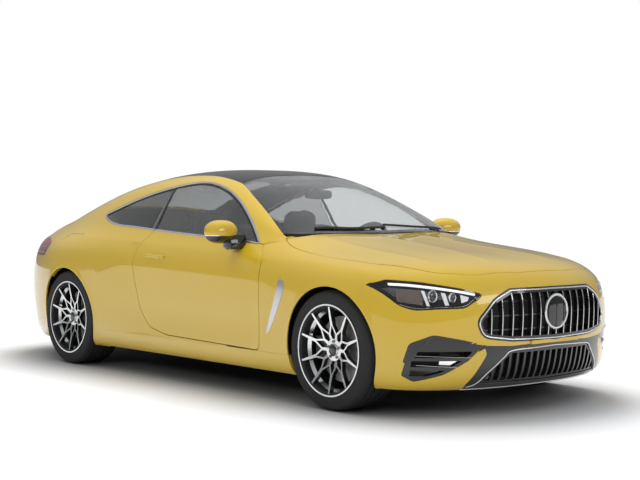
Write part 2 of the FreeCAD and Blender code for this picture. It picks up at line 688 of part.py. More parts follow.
def make_door_glass():
    outline = grown(SIDE_GLASS, -GLASS_INSET)
    drop = GLASS_INSET - SEAM
    low = [(a, b - drop, r) if b < above(996) else (a, b, r) for a, b, r in outline]
    pane = slab(side_patch(along(-900), along(1200), 7.0, 12.2), 2, 2 + GLASS, OUTSIDE, 18, 9)
    pane = pane.common(prism(low, "x", across(400), FAR))
    front = prism([(-FAR, 0, 0), (-FAR, FAR, 0), (GLASS_SPLIT[1] - GLASS_INSET, FAR, 0),
                   (GLASS_SPLIT[0] - GLASS_INSET, 0, 0)], "x", 0, FAR)
    return pane.common(front)


def make_quarter_glass():
    pane = slab(side_patch(along(200), along(1300), 7.0, 12.2), 2, 2 + GLASS, OUTSIDE, 12, 9)
    pane = pane.common(prism(grown(SIDE_GLASS, -SEAM), "x", across(400), FAR))
    rear = prism([(GLASS_SPLIT[0], 0, 0), (GLASS_SPLIT[1], FAR, 0), (2 * FAR, FAR, 0), (2 * FAR, 0, 0)],
                 "x", 0, FAR)
    return pane.common(rear)


def make_screen(outline, depth, wall, s0, s1):
    pane = slab(patch(house, s0, s1, 2, 2 * house.top - 2), depth, depth + wall, SKY, 10, 12)
    return pane.common(prism(whole(outline), "z", above(880), FAR))


GLASS_INSET = 6.0


# Front of the body

GRILLE = plan_front([(0, 690, 0), (330, 688, 70), (436, 640, 160), (530, 530, 45), (500, 452, 60), (330, 430, 200),
                     (0, 424, 0)])
LAMP = plan_front([(902, 722, 8), (842, 752, 30), (745, 741, 200), (598, 709, 200), (494, 676, 8), (528, 645, 60),
                   (598, 602, 60), (712, 598, 200), (806, 590, 60), (852, 612, 90)])
LOWER_INTAKE = plan_front([(0, 381, 0), (325, 366, 40), (420, 290, 200), (512, 192, 12), (0, 184, 0)])
SIDE_INTAKE = plan_front([(842, 240, 14), (838, 300, 60), (800, 400, 30), (738, 440, 30), (500, 402, 4),
                          (575, 322, 60), (690, 246, 60), (800, 206, 14)])
ZERO_Y = -LENGTH


def front_prism(outline):
    return prism(outline, "y", ZERO_Y, along(-1600))


def make_bumper():
    skin = slab(front_skin, 0, BUMPER_SKIN, FRONT, 16, 9)
    skin = skin.cut(prism(BEHIND_BUMPER, "x", -FAR, FAR))
    skin = skin.cut(prism(grown(whole(HOOD), SHUT_GAP), "z", above(500), FAR))
    for x0, x1 in ((across(500), FAR), (-FAR, -across(500))):
        skin = skin.cut(arch(FRONT_AXLE_Y, ARCH_RADIUS, x0, x1))
    skin = skin.cut(front_prism(grown(whole(GRILLE), SEAM)))
    skin = skin.cut(front_prism(grown(whole(LOWER_INTAKE), SEAM)))
    for outline in (LAMP, SIDE_INTAKE):
        cut = front_prism(grown(outline, SEAM))
        skin = skin.cut(cut).cut(mirrored(cut))
    pads = block(-200, 200, -2421, -2330, 394, 414)
    return joined(skin, pads)


BEHIND_BUMPER = plan_side([(-1958, 1400, 0), (-1958, 812, 0), (-1745, 650, 0), (-1745, 400, 0), (-1745, 100, 0),
                           (600, 100, 0), (600, 1400, 0)])


def make_grille():
    band = slab(patch(lower, -4, 4, 2.4, 6), 0, 26, FRONT, 10, 6)
    frame = slab(patch(lower, -4, 4, 2.4, 6), 0, 12, FRONT, 10, 6).common(front_prism(whole(GRILLE)))
    hole = front_prism(grown(whole(GRILLE), -GRILLE_RIM))
    frame = frame.cut(hole)
    slats = []
    for i in range(SLATS):
        x = across(GRILLE_HALF) * (2 * i / (SLATS - 1) - 1)
        slats.append(box(x - SLAT / 2, x + SLAT / 2, ZERO_Y, 0, above(400), above(720)))
    inner = front_prism(grown(whole(GRILLE), 1 - GRILLE_RIM))
    bars = band.common(Part.makeCompound(slats)).common(inner)
    cross = slab(patch(lower, -4, 4, 2.4, 6), 18, 24, FRONT, 10, 6).common(inner)
    rails = cross.common(Part.makeCompound([block(-600, 600, -3000, 0, z - 4, z + 4) for z in (480, 556, 632)]))
    return joined(frame, bars, rails)


GRILLE_RIM = 13.0
SLATS = 15
SLAT = 9.0
GRILLE_HALF = 460.0


def make_lamp_body():
    body = slab(patch(lower, 1, 6, 3, 6.4), 22, 60, FRONT + V(FAR, 0, 0), 8, 7)
    return body.common(front_prism(LAMP)).cut(LAMP_BACK)


def make_lamp_lens():
    lens = slab(patch(lower, 1, 6, 3, 6.4), 1, 21.4, FRONT + V(FAR, 0, 0), 8, 7)
    return lens.common(front_prism(LAMP)).cut(LAMP_BACK)


LAMP_BACK = block(300, 1200, -1838, -1000, 300, 1100)


def make_intakes():
    deep = slab(patch(lower, -6, 6, 0.2, 4), 4, 30, FRONT, 14, 6)
    middle = deep.common(front_prism(whole(LOWER_INTAKE)))
    hole = front_prism(grown(whole(LOWER_INTAKE), -14))
    slots = [block(x - 18, x + 18, -3000, 0, 205, 352) for x in range(-450, 451, 50)]
    middle = middle.cut(hole.common(Part.makeCompound(slots)))
    outer = deep.common(front_prism(SIDE_INTAKE))
    windows = [block(560, 815, -3000, 0, z - 16, z + 16) for z in (255, 305, 355)]
    outer = outer.cut(front_prism(grown(SIDE_INTAKE, -16)).common(Part.makeCompound(windows)))
    return Part.makeCompound([middle, outer, mirrored(outer)])


def make_fender():
    skin = slab(fender_skin, 0, SKIN, OUTSIDE + FRONT * 0.3, 12, 10)
    skin = skin.common(prism(FENDER, "x", across(300), FAR))
    skin = skin.cut(prism(grown(DOOR, SHUT_GAP), "x", 0, FAR))
    skin = skin.cut(prism(grown(whole(HOOD), SHUT_GAP), "z", above(500), FAR))
    skin = skin.cut(prism(grown(whole(SCREEN), SEAM), "z", above(500), FAR))
    skin = skin.cut(front_prism(grown(LAMP, 2 * SEAM)).cut(LAMP_BACK))
    skin = skin.cut(arch(FRONT_AXLE_Y, ARCH_RADIUS, across(300), FAR))
    skin = skin.cut(prism(grown(BLADE, SEAM), "x", across(700), FAR))
    under = slab(fender_skin, SKIN / 2, 90, OUTSIDE + FRONT * 0.3, 12, 10)
    brackets = [block(809, 824, y, y + 60, 790, 900) for y in (-1640, -1260)]
    return joined(skin, *[under.common(b) for b in brackets])


FENDER = plan_side([(-1957.2, 1400, 0), (-1957.2, 811.6, 0), (-1744.2, 649.8, 0), (-1744.2, 283.8, 0),
                    (-880, 283.8, 0), (-840, 909.4, 0), (-904.8, 971.4, 0), (-904.8, 1400, 0)])


# The bright blade stands slanted in the fender, behind the wheel
BLADE = plan_side([(-1127, 716, 4), (-1112, 640, 200), (-1046, 500, 300), (-999, 386, 3), (-1040, 418, 60),
                   (-1082, 478, 200), (-1137, 568, 200), (-1182, 662, 60), (-1189, 700, 20), (-1162, 720, 20)])
BLADE_PROUD = 1.5


def make_blade():
    blade = slab(fender_skin, -BLADE_PROUD, SKIN + 2, OUTSIDE + FRONT * 0.3, 12, 10)
    return blade.common(prism(BLADE, "x", across(700), FAR))


def make_skirt():
    side_sheet = patch(lower, 7.6, 13.6, 0.1, 2.4)
    skin = slab(side_sheet, 0, 22, OUTSIDE, 10, 5).common(block(700, 1200, -1300, 820, 168, 283))
    shelf = slab(side_sheet, 11, 110, OUTSIDE, 10, 5).common(block(853.6, 1200, -980, 800, 226, 236))
    return joined(skin, shelf).cut(arch(FRONT_AXLE_Y, ARCH_RADIUS, across(300), FAR))


# A lid's hinge arm is drawn from its axis with the lid open, where it bends round the edge of the
# glass, and is turned back by the opening angle to where it lies with the lid shut.
HOOD_AXIS = (along(-925), above(945))
HOOD_LUG_X = across(560)
HOOD_OPEN = 45.0
HOOD_ROUTE = [(0, 0), (-104, -4), (-118, 50), (-118, 135)]
LID_AXIS = (along(1500), above(1075))
LID_LUG_X = across(420)
LID_OPEN = -75.0
LID_ROUTE = [(0, 0), (60, -30), (150, -25), (165, 40), (80, 190), (58, 229)]
EYE = 11.0
LUG = 12.0


def bar_between(start, end, wide_start, wide_end, x0, x1):
    """A flat bar across the car's length between two places (y, z), tapering in width."""
    way = unit(end[0] - start[0], end[1] - start[1])
    side = (-way[1] / 2, way[0] / 2)
    a, b = [(side[0] * wide, side[1] * wide) for wide in (wide_start, wide_end)]
    return prism([(start[0] + a[0], start[1] + a[1], 0), (end[0] + b[0], end[1] + b[1], 0),
                  (end[0] - b[0], end[1] - b[1], 0), (start[0] - a[0], start[1] - a[1], 0)], "x", x0, x1)


def hinge_neck(skin_under, x, axis, route, degrees):
    """A bent arm from a lid's underside to its axis, with the pin that turns in the bracket."""
    turn = math.radians(degrees)
    places = [(axis[0] + a * math.cos(turn) - b * math.sin(turn), axis[1] + a * math.sin(turn) + b * math.cos(turn))
              for a, b in route]
    links = [bar_between(p, q, 2 * EYE, 2 * EYE, x, x + LUG) for p, q in zip(places, places[1:])]
    links[-1] = links[-1].common(skin_under)
    eyes = [Part.makeCylinder(EYE, LUG, V(x, y, z), V(1, 0, 0)) for y, z in places[:-1]]
    pin = Part.makeCylinder(PIN_RADIUS, 2 * LUG + 6, V(x - LUG - 6, *axis), V(1, 0, 0))
    return joined(pin, *links, *eyes)


def bracket(x, axis, base_z):
    """The fixed half of a hinge: a plate on the body with a bore for the pin."""
    y, z = axis
    plate = box(x - LUG - 1, x - 1, y - EYE, y + EYE, base_z, z)
    eye = Part.makeCylinder(EYE, LUG, V(x - LUG - 1, y, z), V(1, 0, 0))
    bore = Part.makeCylinder(PIN_RADIUS + FIT, 4 * LUG, V(x - 3 * LUG, y, z), V(1, 0, 0))
    return plate.fuse(eye).cut(bore)


def make_hood():
    panel = slab(hood_skin, 0, LID_SKIN, SKY, 14, 15)
    panel = panel.common(prism(whole(HOOD), "z", above(500), FAR))
    under = slab(hood_skin, LID_SKIN / 2, 110, SKY, 12, 13)
    arm = hinge_neck(under, HOOD_LUG_X, HOOD_AXIS, HOOD_ROUTE, HOOD_OPEN)
    return joined(panel, arm, mirrored(arm))


def make_boot_lid():
    panel = slab(lid_skin, 0, LID_SKIN, SKY + REAR * 0.2, 18, 12)
    panel = panel.common(prism(whole(LID_TOP), "z", above(500), FAR))
    panel = panel.cut(block(-900, 900, 1900, 3000, 400, 660))
    under = slab(lid_skin, LID_SKIN / 2, 110, SKY + REAR * 0.2, 18, 12)
    arm = hinge_neck(under, LID_LUG_X, LID_AXIS, LID_ROUTE, LID_OPEN)
    return joined(panel, arm, mirrored(arm))


# Rear of the body

def make_rear_bumper():
    skin = slab(tail_skin, 0, BUMPER_SKIN, REAR, 16, 9)
    skin = skin.common(prism(grown(REAR_SPLIT, -SEAM), "x", -FAR, FAR))
    skin = skin.cut(block(-542, 542, 2000, 3000, 655, 1000))
    skin = skin.cut(prism(grown(whole(DIFFUSER), SEAM), "y", along(1900), along(2700)))
    skin = skin.cut(block(-300, 300, 1500, 1990, 0, 400))
    for x0, x1 in ((across(500), FAR), (-FAR, -across(500))):
        skin = skin.cut(arch(REAR_AXLE_Y, ARCH_RADIUS, x0, x1))
    pads = block(-200, 200, 2352, 2412, 398, 418)
    return joined(skin, pads)


DIFFUSER = plan_front([(0, 330, 0), (440, 330, 60), (540, 196, 30), (520, 140, 0), (0, 140, 0)])


def make_diffuser():
    plate = slab(patch(lower, lower.last - 4, lower.last + 4, 0.1, 3), 2, 22, REAR, 12, 5)
    plate = plate.common(prism(whole(DIFFUSER), "y", along(1900), along(2700)))
    for x in (-430, 430):
        plate = plate.cut(round_bar(44, at(x, 2100, 262), at(x, 2500, 262)))
    return plate


def make_tail_lamp():
    lamp = slab(patch(lower, 15, 20.6, 4, 7.3), 0, 40, REAR + OUTSIDE, 14, 7)
    lamp = lamp.common(prism(TAIL_LAMP, "x", across(300), FAR))
    return lamp.cut(prism(grown(whole(LID_TOP), SHUT_GAP), "z", above(500), FAR))


# Wheels

def revolved(profile):
    """Turn a closed profile of (x, radius) points about the wheel's axis through its centre."""
    points = [V(x, 0, r) for x, r in profile]
    wire = Part.makePolygon(points + points[:1])
    return positive(Part.Face(wire).revolve(V(0, 0, 0), V(1, 0, 0), 360))


def make_tyre():
    half = TYRE_WIDTH / 2
    inner, outer = RIM_RADIUS - RIM_LIP + FIT, TYRE_RADIUS
    rise = outer - inner
    profile = [(-half + 14, inner), (-half + 4, inner + 0.2 * rise), (-half, inner + 0.5 * rise),
               (-half + 4, inner + 0.8 * rise), (-half + 22, outer - 3), (-half + 52, outer), (half - 52, outer),
               (half - 22, outer - 3), (half - 4, inner + 0.8 * rise), (half, inner + 0.5 * rise),
               (half - 4, inner + 0.2 * rise), (half - 14, inner), (half - 50, inner), (half - 60, inner + 8),
               (-half + 60, inner + 8), (-half + 50, inner)]
    return revolved(profile)


def make_rim():
    half = TYRE_WIDTH / 2
    seat = RIM_RADIUS - RIM_LIP
    wall = RIM_WALL
    profile = [(-half, RIM_RADIUS - 2), (-half + 5, RIM_RADIUS - 2), (-half + 13.5, seat), (-half + 50, seat),
               (-half + 66, seat - 20), (half - 66, seat - 20), (half - 50, seat), (half - 13.5, seat),
               (half - 5, RIM_RADIUS), (half, RIM_RADIUS), (half, RIM_RADIUS - 9), (half - 14, seat - wall),
               (half - 54, seat - wall), (half - 70, seat - 20 - wall), (-half + 70, seat - 20 - wall),
               (-half + 54, seat - wall), (-half, seat - wall)]
    rim = revolved(profile)
    face = half - DISH
    edge = seat - wall + 3
    dish = revolved([(face, 0), (face, HUB_RADIUS), (half - 19, 0.75 * edge), (half - 8, edge),
                     (half - 8 - WEB, edge), (half - 19 - WEB, 0.75 * edge), (face - HUB_THICKNESS, HUB_RADIUS),
                     (face - HUB_THICKNESS, 0)])
    pitch = math.pi / SPOKES
    meet = [(side * MEET_RADIUS * math.sin(pitch), MEET_RADIUS * math.cos(pitch)) for side in (-1, 1)]
    fork = (0, FORK_RADIUS)
    low, high = face - HUB_THICKNESS - 20, half
    spoke = joined(bar_between((0, FORK_RADIUS - 12), (0, edge), 19, 11, low, high),
                   bar_between(fork, meet[0], 9, 11, low, high), bar_between(fork, meet[1], 9, 11, low, high),
                   bar_between(meet[0], (0, 0), 16, 24, low, high)).common(dish)
    hub = Part.makeCylinder(HUB_RADIUS, HUB_THICKNESS, V(face - HUB_THICKNESS, 0, 0), V(1, 0, 0))
    spokes = []
    for i in range(SPOKES):
        turned = spoke.copy()
        turned.rotate(V(0, 0, 0), V(1, 0, 0), 360.0 * i / SPOKES)
        spokes.append(turned)
    wheel = joined(rim, hub, *spokes)
    return wheel.cut(Part.makeCylinder(HUB_BORE, face - CAP_THICKNESS + half, V(-half, 0, 0), V(1, 0, 0)))


DISC_X = 797.0
SPINDLE_END = WHEEL_X + TYRE_WIDTH / 2 - DISH - CAP_THICKNESS - 2


def make_disc():
    x = across(DISC_X)
    disc = Part.makeCylinder(DISC_RADIUS, DISC_THICKNESS, V(x, 0, 0), V(1, 0, 0))
    hat_end = WHEEL_X + TYRE_WIDTH / 2 - DISH - HUB_THICKNESS - FIT
    hat = Part.makeCylinder(HAT_RADIUS, hat_end - x, V(x, 0, 0), V(1, 0, 0))
    return disc.fuse(hat).cut(Part.makeCylinder(HUB_BORE, 400, V(x - 100, 0, 0), V(1, 0, 0)))


def make_caliper():
    x0, x1 = across(DISC_X) - 22, across(DISC_X) + DISC_THICKNESS + 22
    body = box(x0, x1, 108, 200, -62, 62)
    slot = Part.makeCylinder(DISC_RADIUS + 5, DISC_THICKNESS + 10, V(across(DISC_X) - 5, 0, 0), V(1, 0, 0))
    return body.cut(slot)


def make_knuckle(kingpin):
    """Upright with its spindle and caliper, about the wheel's centre line."""
    x1 = across(DISC_X) - 7
    body = box(KINGPIN_X - 25, x1, -38, 38, -104, 126)
    spindle = Part.makeCylinder(HUB_BORE - FIT, SPINDLE_END - KINGPIN_X + 25, V(KINGPIN_X - 25, 0, 0), V(1, 0, 0))
    arm = box(KINGPIN_X - 20, x1, 30, 150, -30, 30)
    pieces = [body, spindle, arm, make_caliper()]
    if kingpin:
        pieces.append(Part.makeCylinder(KINGPIN_RADIUS, 300, V(KINGPIN_X, 0, -142)))
    return joined(pieces[0], *pieces[1:])


def placed(shape, y):
    moved = shape.copy()
    moved.translate(V(0, y, TYRE_RADIUS))
    return moved


def make_front_axle():
    beam = block(-446, 446, -1650, -1480, 236, 329.7)
    low = box(across(380), KINGPIN_X, -40, 40, -136, -108)
    low = low.fuse(Part.makeCylinder(BALL_JOINT_RADIUS, 28, V(KINGPIN_X, 0, -136)))
    high = box(across(449), KINGPIN_X, -40, 40, 130, 154)
    high = high.fuse(Part.makeCylinder(BALL_JOINT_RADIUS, 24, V(KINGPIN_X, 0, 130)))
    bore = Part.makeCylinder(KINGPIN_RADIUS + FIT, 500, V(KINGPIN_X, 0, -250))
    low, high = placed(low.cut(bore), FRONT_AXLE_Y), placed(high.cut(bore), FRONT_AXLE_Y)
    low = joined(low, block(380, 446, -1606, -1522, 204, 300))
    frame = joined(beam, low, mirrored(low))
    return Part.makeCompound([frame, high, mirrored(high)])


def make_rear_axle():
    carrier = block(-420, 420, 1200, 1420, 250, 351.7)
    upright = placed(make_knuckle(False), REAR_AXLE_Y)
    arm = box(across(400), KINGPIN_X, REAR_AXLE_Y - 60, REAR_AXLE_Y + 60, above(262), above(290))
    return joined(carrier, upright, mirrored(upright), arm, mirrored(arm))


def make_liner(axle_y, inner_x, outer_x, window):
    """Wheelhouse: a half barrel over the wheel, closed on the inboard side."""
    barrel = arch(axle_y, LINER_RADIUS + LINER_WALL, inner_x, outer_x)
    barrel = barrel.cut(arch(axle_y, LINER_RADIUS, inner_x + LINER_WALL, outer_x + 10))
    barrel = barrel.cut(box(0, FAR, axle_y - FAR, axle_y + FAR, -FAR, TYRE_RADIUS - 90))
    return barrel.cut(box(inner_x - 10, inner_x + 20, axle_y - window, axle_y + window, 0, TYRE_RADIUS + 190))


# Structure

def make_front_structure():
    wall = FLOOR_X - FIT
    fire = box(-wall, wall, along(-985), along(-945), above(176), above(840))
    cowl = block(-700, 700, -1090, -900, 822, 840)
    lip = prism(whole(COWL_LIP), "z", above(830), above(1100)).common(block(-690, 690, -1100, -900, 0, 1100))
    lip = lip.cut(prism(grown(whole(COWL_LIP), -14), "z", 0, FAR))
    lip = lip.common(slab(house_skin, GLASS + 3, 400, SKY, 20, 12))
    notch = block(540, 592, -1100, -940, 842, 1100)
    lip = lip.cut(notch).cut(mirrored(notch))
    apron = block(398, 448.7, -2200, -980, 330, 750)
    bench = joined(block(440, 812, -1837.4, -1001, 745, 789.7), block(800, 830, -1780, -1001, 745, 789.7))
    tower = Part.makeCylinder(82, 60, V(across(600), FRONT_AXLE_Y, above(780)))
    rail = joined(apron, bench, tower)
    rad = block(-520, 520, -2210, -2180, 190, 735)
    beam = block(-440, 440, -2329.7, -2262, 372, 436)
    horn = block(400, 440, -2270, -2190, 376, 432)
    holder = bracket(HOOD_LUG_X, HOOD_AXIS, above(830))
    return joined(fire, cowl, lip, rail, mirrored(rail), rad, beam, horn, mirrored(horn), holder, mirrored(holder))


COWL_LIP = plan_top([(0, -1040, 0), (420, -1022, 500), (640, -966, 200), (690, -912, 30), (640, -600, 0),
                     (0, -600, 0)])


def make_floor():
    wall = FLOOR_X - FIT
    pan = box(-wall, wall, along(-945) + FIT, along(860), above(176), above(214))
    tunnel = block(-150, 150, -940, 860, 210, 330)
    heel = box(-wall, wall, along(800), along(860), above(180), above(400))
    return joined(pan, tunnel, heel)


def make_rear_structure():
    wall = FLOOR_X - FIT
    pan = block(-559.7, 559.7, 860.3, 2290, 352, 380)
    back = block(-559.7, 559.7, 940, 975, 360, 905)
    ears = box(-wall, wall, along(940), along(975), above(760), above(905))
    shelf = block(-700, 700, 940, 1560, 885, 905)
    tail = block(-520, 520, 2262, 2290, 352, 640)
    stop = block(-210, 210, 2270, 2351.7, 380, 440)
    foot = box(-wall, wall, along(860) + FIT, along(896), above(200), above(390))
    holder = bracket(LID_LUG_X, LID_AXIS, above(900))
    return joined(pan, back, ears, shelf, tail, stop, foot, holder, mirrored(holder))


def make_engine():
    return block(-270, 270, -2020, -1120, 330, 770)


def make_exhaust():
    box_shape = block(-360, 360, 1960, 2180, 232, 351.7)
    pipe = round_bar(38, at(430, 2150, 262), at(430, 2352, 262))
    link = block(340, 460, 2100, 2170, 240, 290)
    return joined(box_shape, pipe, mirrored(pipe), link, mirrored(link))


# Cabin

def make_front_seat():
    x = 405
    base = block(x - 200, x + 200, -330, 170, 214.3, 300)
    cushion = prism(plan_side([(-380, 300, 30), (-400, 400, 60), (-340, 440, 60), (140, 400, 40), (160, 300, 20)]),
                    "x", across(x - 240), across(x + 240))
    back = prism(plan_side([(130, 330, 40), (60, 420, 60), (240, 960, 60), (262, 1130, 50), (350, 1120, 50),
                            (330, 900, 80), (220, 330, 40)]), "x", across(x - 235), across(x + 235))
    narrow = block(x - 130, x + 130, 0, 600, 960, 1300)
    wide = block(x - 300, x + 300, 0, 600, 0, 960)
    back = joined(back.common(narrow), back.common(wide))
    return joined(base, cushion, back)


def make_rear_bench():
    cushion = prism(plan_side([(480, 402, 20), (460, 470, 50), (540, 500, 60), (860, 450, 40), (930, 402, 20)]),
                    "x", across(-520), across(520))
    back = prism(plan_side([(800, 410, 20), (760, 470, 60), (860, 900, 50), (939, 900, 30), (939, 410, 10)]),
                 "x", across(-520), across(520))
    base = block(160, 500, 480, 799, 214.3, 410)
    return joined(cushion, back, base, mirrored(base))


DASH_FACE_Y = -600
COLUMN_TILT = math.radians(25)
COLUMN = at(370, -470, 860)
COLUMN_WAY = V(0, math.cos(COLUMN_TILT), math.sin(COLUMN_TILT))
COLUMN_RADIUS = 14.0


def make_dashboard():
    body = prism(plan_side([(-944.7, 500, 0), (-760, 500, 60), (-640, 640, 60), (-620, 790, 60), (-700, 870, 60),
                            (-899.7, 880, 10), (-899.7, 821.4, 0), (-944.7, 821.4, 0)]), "x", across(-735), across(735))
    console = block(-140, 140, -800, 250, 330.3, 520)
    column = round_bar(COLUMN_RADIUS, COLUMN - COLUMN_WAY * 260, COLUMN + COLUMN_WAY * 20)
    shroud = round_bar(42, COLUMN - COLUMN_WAY * 260, COLUMN - COLUMN_WAY * 45)
    return joined(body, console, column, shroud)


def make_steering_wheel():
    ring = Part.makeTorus(180, 15)
    hub = Part.makeCylinder(55, 34, V(0, 0, -30))
    spokes = [box(-180, 180, -18, 18, -10, 4), box(-18, 18, -180, 0, -10, 4)]
    wheel = joined(ring, hub, *spokes)
    wheel = wheel.cut(Part.makeCylinder(COLUMN_RADIUS + FIT, 54, V(0, 0, -32)))
    wheel.rotate(V(0, 0, 0), V(1, 0, 0), -90 + math.degrees(COLUMN_TILT))
    wheel.translate(COLUMN)
    return wheel


def make_mirror():
    meridian = Part.makePolygon([V(0, 0, -72)] + [V(0, 72 * math.cos(math.radians(t)), 72 * math.sin(math.radians(t)))
                                                  for t in (-60, -30, 0, 30, 60)] + [V(0, 0, 72), V(0, 0, -72)])
    egg = Part.Face(meridian).revolve(V(0, 0, 0), V(0, 0, 1), 360)
    shell = positive(egg.transformGeometry(FreeCAD.Matrix(1.6, 0, 0, 0, 0, 1.08, 0, 0, 0, 0, 1, 0)))
    shell.rotate(V(0, 0, 0), V(0, 0, 1), -12)
    shell.translate(at(985, -630, 990))
    shell = shell.cut(box(0, FAR, along(-596), 0, 0, FAR))
    foot = prism(plan_side([(-705, 870, 10), (-600, 880, 10), (-612, 985, 20), (-660, 985, 20)]),
                 "x", across(830), across(975))
    door_zone = slab(side_patch(along(-900), along(-300), 3, 9.5), -0.4, 90, OUTSIDE, 8, 8)
    return joined(foot.cut(door_zone), shell.cut(door_zone))


def build():
    door = make_door()
    glass = make_door_glass()
    mirror = make_mirror()
    frame = make_side_frame()
    for name, shape in (("door", door), ("door_glass", glass), ("mirror", mirror), ("side_frame", frame)):
        save(name + "_left", shape)
        save(name + "_right", mirrored(shape))
    for name, shape in (("front_fenders", make_fender()), ("side_skirts", make_skirt()), ("fender_blades", make_blade()),
                        ("quarter_glass", make_quarter_glass()), ("headlamps", make_lamp_body()),
                        ("headlamp_lenses", make_lamp_lens()), ("tail_lamps", make_tail_lamp()),
                        ("front_seats", make_front_seat()),
                        ("front_arch_liners", make_liner(FRONT_AXLE_Y, across(449), across(868), 160)),
                        ("rear_arch_liners", make_liner(REAR_AXLE_Y, across(560), across(878), 160))):
        save(name, both(shape))
    save("windscreen", make_screen(SCREEN, 1, GLASS, 0, 7))
    save("roof_panel", make_screen(ROOF, 0, 20, 2, 9))
    save("rear_window", make_screen(REAR_GLASS, 1, GLASS, 5, 12))
    save("front_bumper", make_bumper())
    save("grille", make_grille())
    save("intakes", make_intakes())
    save("rear_bumper", make_rear_bumper())
    save("diffuser", make_diffuser())
    save("bonnet", make_hood())
    save("boot_lid", make_boot_lid())
    save("front_structure", make_front_structure())
    save("floor", make_floor())
    save("rear_structure", make_rear_structure())
    save("front_axle", make_front_axle())
    save("rear_axle", make_rear_axle())
    save("engine", make_engine())
    save("exhaust", make_exhaust())
    save("rear_bench", make_rear_bench())
    save("dashboard", make_dashboard())
    save("steering_wheel", make_steering_wheel())
    knuckle = placed(make_knuckle(True), FRONT_AXLE_Y)
    save("knuckle_left", knuckle)
    save("knuckle_right", mirrored(knuckle))
    rim, tyre, disc = make_rim(), make_tyre(), make_disc()
    for shape in (rim, tyre):
        shape.translate(V(WHEEL_X, 0, 0))
    for end, y in (("front", FRONT_AXLE_Y), ("rear", REAR_AXLE_Y)):
        for name, shape in (("rim", rim), ("tyre", tyre), ("disc", disc)):
            piece = placed(shape, y)
            save(name + "_" + end + "_left", piece)
            save(name + "_" + end + "_right", mirrored(piece))


os.makedirs("parts", exist_ok=True)
build()
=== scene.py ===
"""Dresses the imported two-door coupe: paint, glass, trim, wheels and cabin, on a pale studio floor."""

from __future__ import annotations

import json
import logging
import math
from dataclasses import dataclass, field
from enum import Enum
from typing import Protocol, Sequence

import bmesh
import bpy
import numpy as np
from mathutils import Matrix, Vector

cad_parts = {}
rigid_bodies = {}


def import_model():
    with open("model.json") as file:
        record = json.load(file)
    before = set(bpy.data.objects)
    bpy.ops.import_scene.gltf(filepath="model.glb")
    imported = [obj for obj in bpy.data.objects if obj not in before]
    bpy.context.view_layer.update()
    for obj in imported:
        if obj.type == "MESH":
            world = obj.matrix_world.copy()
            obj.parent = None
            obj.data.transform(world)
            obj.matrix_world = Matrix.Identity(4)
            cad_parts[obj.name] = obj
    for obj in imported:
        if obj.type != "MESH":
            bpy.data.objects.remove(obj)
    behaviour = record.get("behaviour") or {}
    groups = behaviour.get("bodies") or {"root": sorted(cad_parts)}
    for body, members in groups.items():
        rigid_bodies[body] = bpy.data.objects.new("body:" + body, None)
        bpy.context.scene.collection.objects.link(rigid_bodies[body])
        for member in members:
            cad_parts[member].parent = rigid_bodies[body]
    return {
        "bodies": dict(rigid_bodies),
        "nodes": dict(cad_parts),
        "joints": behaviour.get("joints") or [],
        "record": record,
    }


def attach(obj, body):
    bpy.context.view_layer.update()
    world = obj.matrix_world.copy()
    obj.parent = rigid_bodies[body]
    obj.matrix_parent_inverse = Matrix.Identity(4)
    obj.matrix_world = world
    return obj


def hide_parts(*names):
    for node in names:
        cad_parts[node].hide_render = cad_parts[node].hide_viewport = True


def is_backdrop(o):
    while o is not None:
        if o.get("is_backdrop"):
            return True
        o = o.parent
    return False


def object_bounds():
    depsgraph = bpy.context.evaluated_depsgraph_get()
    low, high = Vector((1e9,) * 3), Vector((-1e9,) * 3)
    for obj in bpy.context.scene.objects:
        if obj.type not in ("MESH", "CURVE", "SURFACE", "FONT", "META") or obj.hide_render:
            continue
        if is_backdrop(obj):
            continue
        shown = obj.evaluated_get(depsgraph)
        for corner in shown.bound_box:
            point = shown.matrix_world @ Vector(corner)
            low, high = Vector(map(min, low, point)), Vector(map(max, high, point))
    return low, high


LOG = logging.getLogger("coupe")

